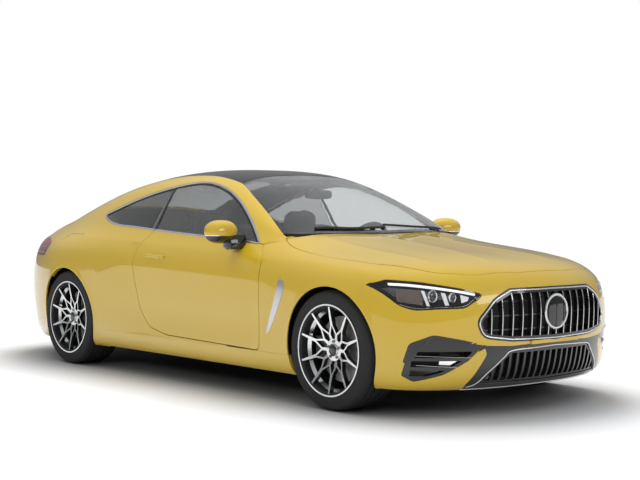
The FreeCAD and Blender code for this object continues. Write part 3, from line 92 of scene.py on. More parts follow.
# The lines plan of the lower body, in millimetres: columns of poles from the nose round to the tail
LOWER = [
    [(0, -2300, 150), (0, -2385, 190), (0, -2415, 330), (0, -2432, 480), (0, -2438, 600),
     (0, -2415, 710), (0, -2340, 790), (0, -2240, 828), (0, -2120, 850), (0, -2000, 866)],
    [(230, -2290, 150), (230, -2375, 190), (230, -2402, 330), (230, -2418, 480), (230, -2424, 600),
     (230, -2402, 710), (228, -2325, 788), (215, -2225, 828), (120, -2080, 862), (0, -1960, 872)],
    [(450, -2250, 150), (455, -2330, 190), (458, -2355, 330), (460, -2368, 480), (460, -2372, 600),
     (458, -2350, 700), (452, -2275, 780), (425, -2170, 828), (230, -2020, 872), (0, -1880, 882)],
    [(630, -2180, 150), (650, -2255, 190), (655, -2270, 330), (656, -2275, 480), (656, -2272, 600),
     (652, -2245, 695), (640, -2170, 770), (600, -2065, 825), (320, -1920, 882), (0, -1800, 892)],
    [(760, -2080, 150), (800, -2130, 190), (808, -2140, 330), (812, -2140, 480), (812, -2130, 600),
     (806, -2100, 690), (785, -2030, 765), (725, -1940, 825), (380, -1820, 892), (0, -1710, 902)],
    [(840, -1960, 150), (885, -1980, 190), (895, -1985, 330), (902, -1980, 480), (904, -1965, 600),
     (896, -1935, 695), (866, -1880, 772), (780, -1800, 838), (400, -1700, 905), (0, -1610, 914)],
    [(865, -1790, 150), (915, -1790, 190), (930, -1790, 330), (940, -1785, 480), (944, -1770, 600),
     (936, -1740, 705), (900, -1690, 785), (800, -1620, 850), (410, -1540, 922), (0, -1480, 930)],
    [(875, -1565, 150), (925, -1565, 190), (940, -1565, 330), (952, -1565, 480), (958, -1555, 600),
     (950, -1530, 712), (912, -1490, 798), (805, -1430, 865), (420, -1370, 942), (0, -1340, 948)],
    [(872, -1300, 150), (924, -1300, 190), (936, -1300, 330), (942, -1300, 450), (950, -1295, 585),
     (948, -1280, 712), (914, -1250, 808), (812, -1210, 882), (490, -1180, 966), (0, -1160, 962)],
    [(866, -1000, 150), (920, -1000, 190), (926, -1000, 300), (924, -1000, 420), (936, -1000, 570),
     (940, -995, 705), (915, -985, 815), (834, -970, 908), (630, -960, 1010), (0, -950, 968)],
    [(862, -600, 150), (918, -600, 190), (922, -600, 300), (914, -600, 410), (928, -600, 560),
     (936, -600, 700), (916, -600, 820), (845, -600, 930), (640, -600, 1050), (0, -600, 1000)],
    [(862, -100, 150), (918, -100, 190), (922, -100, 300), (912, -100, 410), (926, -100, 560),
     (936, -100, 705), (920, -100, 830), (850, -100, 938), (450, -100, 1010), (0, -100, 1010)],
    [(862, 400, 150), (918, 400, 190), (922, 400, 300), (914, 400, 410), (930, 400, 560),
     (940, 400, 710), (926, 400, 840), (852, 400, 958), (450, 400, 1015), (0, 400, 1015)],
    [(868, 800, 150), (922, 800, 190), (930, 800, 300), (932, 800, 420), (948, 800, 565),
     (955, 800, 715), (934, 800, 850), (850, 800, 958), (450, 800, 1015), (0, 800, 1015)],
    [(875, 1080, 150), (928, 1080, 190), (942, 1080, 320), (954, 1080, 460), (966, 1080, 600),
     (966, 1080, 740), (936, 1080, 862), (838, 1080, 955), (450, 1080, 1012), (0, 1080, 1012)],
    [(878, 1310, 150), (930, 1310, 190), (946, 1310, 330), (960, 1310, 480), (972, 1310, 620),
     (966, 1310, 755), (930, 1310, 868), (822, 1310, 952), (440, 1310, 1005), (0, 1310, 1005)],
    [(872, 1560, 150), (922, 1560, 190), (938, 1560, 330), (952, 1560, 480), (962, 1560, 620),
     (956, 1560, 755), (914, 1560, 868), (796, 1560, 948), (430, 1560, 1000), (0, 1560, 1000)],
    [(815, 1835, 150), (858, 1838, 190), (872, 1842, 330), (884, 1848, 480), (892, 1845, 620),
     (884, 1835, 760), (846, 1825, 868), (742, 1815, 940), (410, 1800, 990), (0, 1780, 990)],
    [(725, 2075, 150), (756, 2095, 190), (770, 2112, 330), (782, 2125, 480), (786, 2122, 620),
     (776, 2105, 760), (742, 2075, 868), (658, 2035, 938), (380, 1990, 982), (0, 1950, 982)],
    [(600, 2230, 150), (622, 2275, 190), (630, 2310, 330), (636, 2335, 480), (636, 2335, 620),
     (628, 2312, 760), (606, 2270, 872), (550, 2215, 942), (320, 2140, 978), (0, 2090, 976)],
    [(320, 2290, 150), (328, 2340, 190), (330, 2385, 330), (332, 2412, 480), (332, 2415, 620),
     (330, 2395, 760), (322, 2360, 880), (300, 2310, 950), (190, 2250, 975), (0, 2200, 974)],
    [(0, 2305, 150), (0, 2360, 190), (0, 2405, 330), (0, 2430, 480), (0, 2434, 620),
     (0, 2418, 760), (0, 2388, 885), (0, 2345, 955), (0, 2300, 972), (0, 2260, 972)],
]

# Sections of the greenhouse, each from the belt over the rail to the centre line
HOUSE = [
    (-1120, [(790, 868), (755, 888), (710, 905), (655, 918), (585, 928), (420, 938), (200, 942), (0, 942)]),
    (-930, [(815, 897), (785, 927), (750, 952), (715, 974), (660, 1000), (480, 1038), (240, 1058),
            (0, 1058)]),
    (-740, [(835, 917), (812, 948), (775, 1000), (725, 1052), (655, 1090), (470, 1138), (230, 1162),
            (0, 1162)]),
    (-500, [(845, 932), (820, 965), (766, 1055), (700, 1140), (624, 1198), (450, 1252), (220, 1280),
            (0, 1280)]),
    (-250, [(850, 947), (818, 980), (750, 1090), (677, 1205), (597, 1283), (440, 1338), (220, 1366),
            (0, 1366)]),
    (50, [(852, 960), (816, 990), (742, 1112), (664, 1240), (592, 1326), (445, 1376), (225, 1400),
          (0, 1400)]),
    (400, [(852, 974), (814, 1002), (742, 1115), (664, 1240), (592, 1328), (445, 1380), (225, 1404),
           (0, 1404)]),
    (750, [(850, 982), (808, 1006), (740, 1100), (664, 1212), (596, 1298), (450, 1350), (225, 1376),
           (0, 1376)]),
    (1050, [(842, 980), (800, 1002), (738, 1080), (668, 1172), (602, 1248), (455, 1300), (225, 1326),
            (0, 1326)]),
    (1300, [(826, 968), (786, 988), (730, 1048), (670, 1120), (608, 1186), (455, 1236), (225, 1262),
            (0, 1262)]),
    (1550, [(795, 955), (757, 974), (712, 1014), (660, 1064), (608, 1112), (450, 1160), (225, 1184),
            (0, 1184)]),
    (1850, [(745, 940), (712, 956), (675, 974), (632, 998), (580, 1022), (430, 1050), (215, 1064),
            (0, 1064)]),
    (2020, [(705, 930), (675, 942), (640, 952), (600, 966), (550, 978), (410, 990), (210, 996), (0, 996)]),
]

MILLI = 0.001
FRONT_AXLE_Y = -1564.0
REAR_AXLE_Y = 1311.0
TYRE_RADIUS = 340.0
TYRE_WIDTH = 262.0
WHEEL_X = 804.0
ARCH_RADIUS = 360.0
SHUT_GAP = 5.0
SEAM = 0.6
TINY = 1e-9  # keeps a division by a length from failing
FARTHEST = 1e18  # a squared distance past any other
DEEPEST = 1e6  # a depth past any other
CUT_SHARE = (0.02, 0.98)  # how near to a cell's corner a cut may run
WELD = 1e-5  # how near two points are one, in metres
FLIP = np.array([-1.0, 1.0, 1.0])  # mirrors points across the centre plane


class Side(Enum):
    """The two sides of the car, by the sign of X."""

    LEFT = 1
    RIGHT = -1

    @property
    def word(self) -> str:
        """The side's name in lower case."""
        return self.name.lower()


class SplineNet:
    """A net of uniform cubic spline poles, mirrored past the centre plane and carried on straight elsewhere."""

    SPARE = 3
    HALVINGS = 26
    FIRST_GRID = (90, 60)
    SEARCH_ROUNDS = 10
    SEARCH_STEP = 1e-3
    MOST_MOVE = 0.25
    LEAST_DETERMINANT = 1e-6
    FIT_ROUNDS = 3

    def __init__(self, poles: np.ndarray, round_ends: bool, round_top: bool = True) -> None:
        """Pads the poles so that the surface reaches the net's own edges.

        Args:
            poles: Array of columns by rows by 3, in millimetres.
            round_ends: True where both ends lie on the centre plane.
            round_top: True where the last row lies on the centre plane.
        """
        self.last = poles.shape[0] - 1
        self.top = poles.shape[1] - 1
        self.pad_u = self.last if round_ends else self.SPARE
        beyond = self.top if round_top else self.SPARE
        tall = self._padded(poles, 1, self.SPARE, beyond, False, round_top)
        self.poles = self._padded(tall, 0, self.pad_u, self.pad_u, round_ends, round_ends)
        self.table = self.poles.tolist()

    @staticmethod
    def _padded(poles: np.ndarray, axis: int, low: int, high: int, turn_low: bool,
                turn_high: bool) -> np.ndarray:
        """Adds poles past both edges of one axis.

        Args:
            poles: The net's poles.
            axis: 0 for the columns or 1 for the rows.
            low: How many poles go before the first.
            high: How many poles go after the last.
            turn_low: True to mirror them about the centre plane before the first.
            turn_high: True to mirror them about the centre plane after the last.

        Returns:
            The padded poles.
        """
        rows = np.moveaxis(poles, axis, 0)
        end = len(rows) - 1
        before = [rows[k] * FLIP if turn_low else 2 * rows[0] - rows[k] for k in range(low, 0, -1)]
        after = [rows[end - k] * FLIP if turn_high else 2 * rows[end] - rows[end - k]
                 for k in range(1, high + 1)]
        return np.moveaxis(np.stack(before + list(rows) + after), 0, axis)

    @staticmethod
    def _weights(t: np.ndarray) -> tuple[np.ndarray, np.ndarray]:
        """The spline's weights and their slopes at places t from 0 to 1.

        Args:
            t: Places within a span.

        Returns:
            Two arrays of four numbers for each place.
        """
        s = 1 - t
        w = np.stack([s**3, 3 * t**3 - 6 * t**2 + 4, 3 * s**3 - 6 * s**2 + 4, t**3], axis=-1) / 6
        d = np.stack([-3 * s**2, 9 * t**2 - 12 * t, -9 * s**2 + 12 * s, 3 * t**2], axis=-1) / 6
        return w, d

    def sample(self, u: np.ndarray, v: np.ndarray) -> tuple[np.ndarray, np.ndarray]:
        """Points and unit normals at the places u, v.

        Args:
            u: Places along the columns.
            v: Places up the rows, of the same shape.

        Returns:
            Points and normals, with three numbers for each place.
        """
        i, j = np.floor(u).astype(int), np.floor(v).astype(int)
        wu, du = self._weights(u - i)
        wv, dv = self._weights(v - j)
        shape = u.shape + (3,)
        point, along, up = np.zeros(shape), np.zeros(shape), np.zeros(shape)
        for a in range(4):
            ia = np.clip(i - 1 + a + self.pad_u, 0, self.poles.shape[0] - 1)
            for b in range(4):
                jb = np.clip(j - 1 + b + self.SPARE, 0, self.poles.shape[1] - 1)
                pole = self.poles[ia, jb]
                point += pole * (wu[..., a] * wv[..., b])[..., None]
                along += pole * (du[..., a] * wv[..., b])[..., None]
                up += pole * (wu[..., a] * dv[..., b])[..., None]
        normal = np.cross(along, up)
        size = np.linalg.norm(normal, axis=-1, keepdims=True)
        return point, normal / np.maximum(size, TINY)

    def point(self, u: float, v: float) -> tuple[float, float, float]:
        """One point of the net, worked out with plain numbers for speed.

        Args:
            u: The place along the columns.
            v: The place up the rows.

        Returns:
            The point, in millimetres.
        """
        i, j = math.floor(u), math.floor(v)
        weights = []
        for t in (u - i, v - j):
            s = 1 - t
            weights.append((s * s * s / 6, (3 * t * t * t - 6 * t * t + 4) / 6,
                            (3 * s * s * s - 6 * s * s + 4) / 6, t * t * t / 6))
        x = y = z = 0.0
        for a, wa in enumerate(weights[0]):
            column = self.table[min(max(i - 1 + a + self.pad_u, 0), len(self.table) - 1)]
            for b, wb in enumerate(weights[1]):
                pole = column[min(max(j - 1 + b + self.SPARE, 0), len(column) - 1)]
                w = wa * wb
                x += w * pole[0]
                y += w * pole[1]
                z += w * pole[2]
        return x, y, z

    def place_along(self, y: float, v: float) -> float:
        """Where the line at v reaches the length y.

        Args:
            y: The length to reach.
            v: The line's place up the rows.

        Returns:
            The place along the columns.
        """
        low, high = 0.0, float(self.last)
        for _ in range(self.HALVINGS):
            middle = (low + high) / 2
            if self.point(middle, v)[1] < y:
                low = middle
            else:
                high = middle
        return low

    def at_length(self, y: float, v: float) -> tuple[float, float, float]:
        """The net's point at the length y on its line v."""
        return self.point(self.place_along(y, v), v)

    def find(self, targets: np.ndarray, axes: tuple[int, int], u: tuple[float, float],
             v: tuple[float, float]) -> tuple[np.ndarray, np.ndarray]:
        """Points and normals where the net is seen at the targets in the plane of two axes.

        Args:
            targets: Places in the plane, two numbers each, in millimetres.
            axes: The two axes of the plane.
            u: The range along the columns to look in.
            v: The range up the rows to look in.

        Returns:
            Points and outward normals, one for each target.
        """
        seen = list(axes)
        us, vs = np.meshgrid(*(np.linspace(*r, n) for r, n in zip((u, v), self.FIRST_GRID)), indexing="ij")
        flat = self.sample(us, vs)[0][..., seen].reshape(-1, 2)
        near = np.array([((flat - t) ** 2).sum(1).argmin() for t in targets])
        pu, pv = us.ravel()[near], vs.ravel()[near]
        step, limit, least = self.SEARCH_STEP, self.MOST_MOVE, self.LEAST_DETERMINANT
        for _ in range(self.SEARCH_ROUNDS):
            here = self.sample(pu, pv)[0][:, seen]
            du = (self.sample(pu + step, pv)[0][:, seen] - here) / step
            dv = (self.sample(pu, pv + step)[0][:, seen] - here) / step
            det = du[:, 0] * dv[:, 1] - du[:, 1] * dv[:, 0]
            det = np.where(np.abs(det) < least, least, det)
            miss = targets - here
            pu = np.clip(pu + np.clip((miss[:, 0] * dv[:, 1] - miss[:, 1] * dv[:, 0]) / det, -limit, limit), *u)
            pv = np.clip(pv + np.clip((du[:, 0] * miss[:, 1] - du[:, 1] * miss[:, 0]) / det, -limit, limit), *v)
        return self.sample(pu, pv)


def spline_through(rows: np.ndarray, round_top: bool) -> SplineNet:
    """A net whose surface runs close to the given rows of points.

    Args:
        rows: Array of rows by columns by 3.
        round_top: True where the last column lies on the centre plane.

    Returns:
        The fitted net.
    """
    poles = rows.copy()
    u, v = np.meshgrid(np.arange(rows.shape[0], dtype=float), np.arange(rows.shape[1], dtype=float),
                       indexing="ij")
    for _ in range(SplineNet.FIT_ROUNDS):
        near, _ = SplineNet(poles, False, round_top).sample(u, v)
        poles = poles + (rows - near)
    return SplineNet(poles, False, round_top)


@dataclass
class LinesPlan:
    """The spline surfaces that the body panels are cut from."""

    hood_lengths: tuple[float, ...] = (-2385, -2355, -2320, -2270, -2200, -2100, -1960, -1800, -1620, -1440,
                                       -1260, -1080, -900)
    hood_widths: tuple[float, ...] = (840, 790, 730, 650, 550, 420, 280, 140, 0)
    side_rows: tuple[float, ...] = (0.2, 1, 2, 3, 4, 5, 6)
    house_rows: tuple[float, ...] = (1.7, 2.4, 3, 4, 5, 6, 7)
    deck_rows: tuple[float, ...] = (6.95, 7.15, 7.35, 7.6, 8.0, 8.5, 9.0)
    lid_pivot: tuple[float, float] = (1540.0, 720.0)
    lid_angles: tuple[float, ...] = (92, 84, 76, 68, 60, 52, 44, 37, 31, 26, 22, 18, 14, 10, 6, 1, -4, -9)
    lid_widths: tuple[float, ...] = (640, 560, 470, 370, 250, 125, 0)
    lower: SplineNet = field(init=False)
    house: SplineNet = field(init=False)
    hood: SplineNet = field(init=False)
    side: SplineNet = field(init=False)
    lid: SplineNet = field(init=False)

    def __post_init__(self) -> None:
        """Makes the nets in the order in which they depend on each other."""
        self.lower = SplineNet(np.array(LOWER, float), True)
        sections = [[(x, y, z) for x, z in section] for y, section in HOUSE]
        self.house = SplineNet(np.array(sections, float), False)
        self.hood = self._hood()
        self.side = self._side()
        self.lid = self._lid()

    def deck_line(self, y: float) -> list[tuple[float, float]]:
        """The lower body's section at y, as (x, z) from the shoulder to the centre line.

        Args:
            y: The length of the section.

        Returns:
            Pairs of x and z.
        """
        net, line = self.lower, []
        for v in np.linspace(4.8, net.top, 43).tolist():
            if net.point(0, v)[1] <= y <= net.point(net.last, v)[1]:
                p = net.at_length(y, v)
                line.append((p[0], p[2]))
        for end in (0, net.last):
            if line and line[-1][0] > 1:
                p = self._rise(end, 1, y, 4.0, float(net.top))
                if abs(p[1] - y) < 1:
                    line.append((0.0, p[2]))
        return line

    def _rise(self, u: float, axis: int, value: float, low: float, high: float) -> tuple[float, float, float]:
        """Where the lower body's column u reaches a value on one axis.

        Args:
            u: The column.
            axis: The axis to read.
            value: The value to reach.
            low: Start of the search up the rows.
            high: End of the search up the rows.

        Returns:
            The point there.
        """
        rising = self.lower.point(u, high)[axis] > self.lower.point(u, low)[axis]
        for _ in range(30):
            middle = (low + high) / 2
            if (self.lower.point(u, middle)[axis] < value) == rising:
                low = middle
            else:
                high = middle
        return self.lower.point(u, low)

    @staticmethod
    def height_on(pairs: list[tuple[float, float]], x: float) -> float:
        """Reads the second number at x from pairs that run inwards.

        Args:
            pairs: Pairs of x and a value.
            x: The place to read.

        Returns:
            The value at x.
        """
        for (x1, z1), (x0, z0) in zip(pairs, pairs[1:]):
            if x0 <= x <= x1 and x1 > x0:
                return z0 + (z1 - z0) * (x - x0) / (x1 - x0)
        return pairs[0][1] if x > pairs[0][0] else pairs[-1][1]

    def _hood(self) -> SplineNet:
        """The bonnet's surface, on a grid in plan.

        Returns:
            The bonnet's net.
        """
        rows = []
        for y in self.hood_lengths:
            pairs = self.deck_line(y)
            rows.append([(x, y, self.height_on(pairs, x)) for x in self.hood_widths])
        return spline_through(np.array(rows, float), True)

    def _side(self) -> SplineNet:
        """The side of the body, unbroken from the sill up the rear pillar.

        Returns:
            The side's net.
        """
        columns = []
        for u in np.linspace(8.0, 20.0, 25).tolist():
            column = [self.lower.point(u, v) for v in self.side_rows]
            reach = self.lower.point(u, 6.65)
            if reach[1] < HOUSE[-1][0]:
                belt = self.house.at_length(reach[1], 0.9)
                column.append(tuple((a + b) / 2 for a, b in zip(reach, belt)))
                column += [self.house.at_length(reach[1], w) for w in self.house_rows]
            else:
                column.append(reach)
                column += [self.lower.point(u, v) for v in self.deck_rows]
            columns.append(column)
        return spline_through(np.array(columns), True)

    def _tail_line(self, z: float) -> list[tuple[float, float]]:
        """The lower body's plan at z behind the rear axle, as (x, y) from the side to the middle."""
        points = [self._rise(u, 2, z, 0.0, 8.0) for u in np.linspace(15.0, self.lower.last, 25).tolist()]
        return [(p[0], p[1]) for p in points]

    def _lid_point(self, x: float, angle: float,
                   outline: list[tuple[float, float]]) -> tuple[float, float, float]:
        """Where a ray from the pivot meets the rear of the body at x.

        Args:
            x: The place across the car.
            angle: The ray's angle above the rearward level line, in degrees.
            outline: The section of the body there, as (y, z).

        Returns:
            The point that the ray meets.
        """
        py, pz = self.lid_pivot
        rays = [(math.degrees(math.atan2(z - pz, y - py)), math.hypot(z - pz, y - py)) for y, z in outline]
        for (a1, r1), (a0, r0) in zip(rays, rays[1:]):
            if a0 <= angle <= a1 and a1 > a0:
                r = r0 + (r1 - r0) * (angle - a0) / (a1 - a0)
                break
        else:
            r = rays[0][1] if angle > rays[0][0] else rays[-1][1]
        turn = math.radians(angle)
        return (x, py + r * math.cos(turn), pz + r * math.sin(turn))

    def _lid(self) -> SplineNet:
        """The boot lid's surface, drawn round a pivot inside the boot.

        Returns:
            The boot lid's net.
        """
        decks = []
        for y in np.linspace(1500, 2300, 33).tolist():
            high = None
            if y < 2010:
                points = [self.house.at_length(y, w) for w in np.linspace(0, self.house.top, 29).tolist()]
                high = [(p[0], p[2]) for p in points]
            decks.append((y, self.deck_line(y), high))
        tails = [(z, self._tail_line(z)) for z in np.linspace(930, 560, 20).tolist()]
        columns = []
        for x in self.lid_widths:
            outline = []
            backs = [(self.height_on(line, x), z) for z, line in tails]
            for y, low_line, high_line in decks:
                if x > low_line[0][0] or y > backs[0][0] - 12:
                    continue
                z = self.height_on(low_line, x)
                if high_line:
                    z = max(z, self.height_on(high_line, x))
                outline.append((y, z))
            columns.append([self._lid_point(x, a, outline + backs) for a in self.lid_angles])
        return spline_through(np.array(columns, float).transpose(1, 0, 2), True)


class Seen(Enum):
    """The direction an outline is drawn in, by the two axes that it shows."""

    FROM_SIDE = (1, 2)
    FROM_FRONT = (0, 2)
    FROM_TOP = (0, 1)


Corner = tuple[float, float, float]


class Region(Protocol):
    """Anything that can say how deep inside it a point lies."""

    def depth(self, points: np.ndarray) -> np.ndarray:
        """How far inside each point lies, negative outside."""


class Relief(Protocol):
    """Anything that lifts the points of a panel."""

    def rise(self, points: np.ndarray) -> np.ndarray:
        """How far each point is lifted."""


@dataclass(frozen=True)
class Outline:
    """A closed outline with rounded corners, drawn in one direction, in millimetres."""

    seen: Seen
    corners: tuple[Corner, ...]
    steps: int = 10
    most_share: float = 0.49
    nearly_straight: float = 1.56

    def whole(self) -> Outline:
        """Completes half an outline that starts and ends on the centre plane."""
        return Outline(self.seen, self.corners + tuple((-a, b, r) for a, b, r in reversed(self.corners[1:-1])))

    def mirrored(self) -> Outline:
        """The outline on the other side of the car."""
        return Outline(self.seen, tuple((-a, b, r) for a, b, r in reversed(self.corners)))

    def line(self) -> np.ndarray:
        """The outline with its corners rounded.

        Returns:
            A closed run of points, two numbers each.
        """
        points = [np.array(c[:2], float) for c in self.corners]
        line: list[np.ndarray] = []
        for k, (a, b, r) in enumerate(self.corners):
            p, before, after = points[k], points[k - 1], points[(k + 1) % len(points)]
            d1, d2 = before - p, after - p
            l1, l2 = np.linalg.norm(d1), np.linalg.norm(d2)
            d1, d2 = d1 / l1, d2 / l2
            half = math.acos(max(-1.0, min(1.0, float(d1 @ d2)))) / 2
            rounded = r and half < self.nearly_straight
            reach = min(r / math.tan(half), self.most_share * min(l1, l2)) if rounded else 0.0
            if reach <= 0:
                line.append(p)
                continue
            radius = reach * math.tan(half)
            m = (d1 + d2) / np.linalg.norm(d1 + d2)
            centre = p + m * math.hypot(reach, radius)
            first, last = p + d1 * reach - centre, p + d2 * reach - centre
            total = math.acos(max(-1.0, min(1.0, float(first @ last) / radius**2)))
            for s in np.linspace(0, 1, self.steps):
                w0 = math.sin((1 - s) * total) / math.sin(total)
                w1 = math.sin(s * total) / math.sin(total)
                line.append(centre + first * w0 + last * w1)
        return np.array(line)

    def depth(self, points: np.ndarray) -> np.ndarray:
        """How far inside the outline each point lies, negative outside.

        Args:
            points: Array of points, in millimetres.

        Returns:
            Signed distances in the outline's plane.
        """
        p = points[:, list(self.seen.value)]
        line = self.line()
        inside = np.zeros(len(p), bool)
        best = np.full(len(p), FARTHEST)
        for a, b in zip(line, np.roll(line, -1, axis=0)):
            d = b - a
            size = float(d @ d)
            if size < TINY:
                continue
            t = np.clip(((p - a) @ d) / size, 0, 1)
            gap = p - (a + t[:, None] * d)
            best = np.minimum(best, (gap**2).sum(1))
            crosses = (a[1] > p[:, 1]) != (b[1] > p[:, 1])
            if abs(d[1]) > 1e-12:
                inside ^= crosses & (p[:, 0] < a[0] + (p[:, 1] - a[1]) * d[0] / d[1])
        return np.where(inside, 1.0, -1.0) * np.sqrt(best)


@dataclass(frozen=True)
class WheelArch:
    """The round cut over a wheel."""

    y: float
    radius: float = ARCH_RADIUS
    beyond: float = 400.0

    def depth(self, points: np.ndarray) -> np.ndarray:
        """How far inside the arch each point lies, negative outside."""
        r = np.hypot(points[:, 1] - self.y, points[:, 2] - TYRE_RADIUS)
        return np.minimum(self.radius - r, np.abs(points[:, 0]) - self.beyond)


@dataclass(frozen=True)
class Zone:
    """A box-shaped region."""

    low: tuple[float, float, float]
    high: tuple[float, float, float]

    def depth(self, points: np.ndarray) -> np.ndarray:
        """How far inside the box each point lies, negative outside."""
        return np.minimum(points - np.array(self.low), np.array(self.high) - points).min(axis=1)


@dataclass(frozen=True)
class Grown:
    """An outline moved outwards by a gap."""

    outline: Region
    gap: float

    def depth(self, points: np.ndarray) -> np.ndarray:
        """How far inside the grown outline each point lies, negative outside."""
        return self.outline.depth(points) + self.gap


DOOR = Outline(Seen.FROM_SIDE, ((-925, 288, 30), (-941, 700, 500), (-930, 835, 120), (-838, 914, 15),
                                (-300, 950, 900), (337, 984, 0), (424, 868, 160), (432, 740, 300),
                                (366, 450, 160), (262, 345, 120), (60, 306, 300)))
SIDE_GLASS = Outline(Seen.FROM_SIDE, ((-806, 917, 8), (-600, 1070, 400), (-400, 1182, 300), (-180, 1268, 250),
                                      (60, 1306, 300), (330, 1286, 300), (700, 1212, 600), (1128, 1078, 14),
                                      (900, 1018, 90), (337, 984, 600), (-300, 950, 900)))
SCREEN = Outline(Seen.FROM_TOP, ((0, -1058, 0), (420, -1040, 500), (640, -985, 200), (722, -905, 30),
                                 (596, -450, 700), (532, -250.6, 0), (0, -250.6, 0))).whole()
ROOF = Outline(Seen.FROM_TOP, ((0, -250, 0), (532, -250, 0), (506, 60, 500), (500, 400, 500), (508, 690, 0),
                               (0, 690, 0))).whole()
REAR_GLASS = Outline(Seen.FROM_TOP, ((0, 690.6, 0), (508, 690.6, 0), (530, 1100, 500), (566, 1596, 60),
                                     (420, 1622, 400), (0, 1632, 0))).whole()
HOOD = Outline(Seen.FROM_TOP, ((0, -1067, 0), (420, -1051, 500), (640, -1004, 160), (728, -934, 30),
                               (786, -1080, 400), (803, -1430, 900), (776, -1780, 500), (650, -2112, 300),
                               (480, -2248, 300), (200, -2318, 300), (0, -2326, 0))).whole()
LID_TOP = Outline(Seen.FROM_TOP, ((0, 1642, 0), (500, 1632, 60), (578, 1640, 40), (600, 1900, 500),
                                  (540, 2150, 300), (520, 2500, 0), (0, 2500, 0))).whole()
BELOW_FRAME = Outline(Seen.FROM_SIDE, ((-1400, -200, 0), (-1400, 1600, 0), (-990, 1600, 0), (-990, 905, 0),
                                       (-836, 905, 0), (-600, 600, 0), (-600, -200, 0)))
TAIL_LAMP = Outline(Seen.FROM_SIDE, ((1690, 800, 18), (1665, 868, 30), (1840, 905, 60), (2600, 905, 0),
                                     (2600, 775, 0), (1720, 775, 10)))
REAR_SPLIT = Outline(Seen.FROM_SIDE, ((1530, 100, 0), (1530, 644, 0), (1700, 775, 0), (2700, 775, 0),
                                      (2700, 100, 0)))
GRILLE = Outline(Seen.FROM_FRONT, ((0, 690, 0), (330, 688, 70), (436, 640, 160), (530, 530, 45), (500, 452, 60),
                                   (330, 430, 200), (0, 424, 0))).whole()
LAMP = Outline(Seen.FROM_FRONT, ((902, 722, 8), (842, 752, 30), (745, 741, 200), (598, 709, 200), (494, 676, 8),
                                 (528, 645, 60), (598, 602, 60), (712, 598, 200), (806, 590, 60),
                                 (852, 612, 90)))
LOWER_INTAKE = Outline(Seen.FROM_FRONT, ((0, 381, 0), (325, 366, 40), (420, 290, 200), (512, 192, 12),
                                         (0, 184, 0))).whole()
SIDE_INTAKE = Outline(Seen.FROM_FRONT, ((842, 240, 14), (838, 300, 60), (800, 400, 30), (738, 440, 30),
                                        (500, 402, 4), (575, 322, 60), (690, 246, 60), (800, 206, 14)))
BLACK_FRAME = Outline(Seen.FROM_FRONT, ((0, 404, 0), (330, 392, 200), (480, 400, 80), (600, 432, 100),
                                        (742, 464, 50), (830, 416, 40), (848, 300, 20), (700, 300, 0),
                                        (560, 346, 0),
                                        (492, 384, 4), (478, 352, 60), (566, 190, 20), (552, 150, 20),
                                        (0, 142, 0))).whole()
BEHIND_BUMPER = Outline(Seen.FROM_SIDE, ((-1958, 1400, 0), (-1958, 812, 0), (-1745, 650, 0), (-1745, 400, 0),
                                         (-1745, 100, 0), (600, 100, 0), (600, 1400, 0)))
FENDER = Outline(Seen.FROM_SIDE, ((-1957.2, 1400, 0), (-1957.2, 811.6, 0), (-1744.2, 649.8, 0),
                                  (-1744.2, 283.8, 0), (-880, 283.8, 0), (-840, 909.4, 0), (-904.8, 971.4, 0),
                                  (-904.8, 1400, 0)))
BLADE = Outline(Seen.FROM_SIDE, ((-1127, 716, 4), (-1112, 640, 200), (-1046, 500, 300), (-999, 386, 3),
                                 (-1040, 418, 60), (-1082, 478, 200), (-1137, 568, 200), (-1182, 662, 60),
                                 (-1189, 700, 20), (-1162, 720, 20)))
DIFFUSER = Outline(Seen.FROM_FRONT, ((0, 330, 0), (440, 330, 60), (540, 196, 30), (520, 140, 0),
                                     (0, 140, 0))).whole()
FUEL_FLAP = Outline(Seen.FROM_SIDE, ((1212, 946, 34), (1494, 940, 60), (1478, 828, 60), (1222, 834, 44)))


def smooth_line(corners: Sequence[Sequence[float]], step: float) -> np.ndarray:
    """Even points on a smooth curve through the given ones.

    Args:
        corners: The points to pass, with any number of axes.
        step: About how far apart the points lie.

    Returns:
        The points of the curve.
    """
    p = np.array(corners, float)
    q = np.vstack([2 * p[0] - p[1], p, 2 * p[-1] - p[-2]])
    runs = []
    for k in range(1, len(q) - 2):
        a, b, c, d = q[k - 1], q[k], q[k + 1], q[k + 2]
        t = np.linspace(0, 1, max(2, int(np.linalg.norm(c - b) / step)), endpoint=False)[:, None]
        runs.append(0.5 * (2 * b + (c - a) * t + (2 * a - 5 * b + 4 * c - d) * t**2
                           + (3 * b - a - 3 * c + d) * t**3))
    return np.vstack(runs + [p[-1:]])


def even_line(line: np.ndarray, step: float, closed: bool = False) -> np.ndarray:
    """The same run of points, spaced evenly.

    Args:
        line: The points.
        step: About how far apart they lie afterwards.
        closed: True where the last point joins the first.

    Returns:
        The evenly spaced points.
    """
    whole = np.vstack([line, line[:1]]) if closed else line
    run = np.concatenate([[0.0], np.cumsum(np.linalg.norm(np.diff(whole, axis=0), axis=1))])
    count = max(3, int(run[-1] / step))
    places = np.linspace(0, run[-1], count, endpoint=not closed)
    return np.stack([np.interp(places, run, whole[:, k]) for k in range(whole.shape[1])], axis=1)


def shifted_line(line: np.ndarray, gap: float, closed: bool = True) -> np.ndarray:
    """A flat run of points moved sideways, to its left as seen along it.

    Args:
        line: The points, two numbers each.
        gap: How far they move.
        closed: True where the last point joins the first.

    Returns:
        The moved points.
    """
    if closed:
        ahead = np.roll(line, -1, axis=0) - np.roll(line, 1, axis=0)
    else:
        ahead = np.gradient(line, axis=0)
    ahead /= np.maximum(np.linalg.norm(ahead, axis=1, keepdims=True), TINY)
    return line + np.stack([-ahead[:, 1], ahead[:, 0]], axis=1) * gap


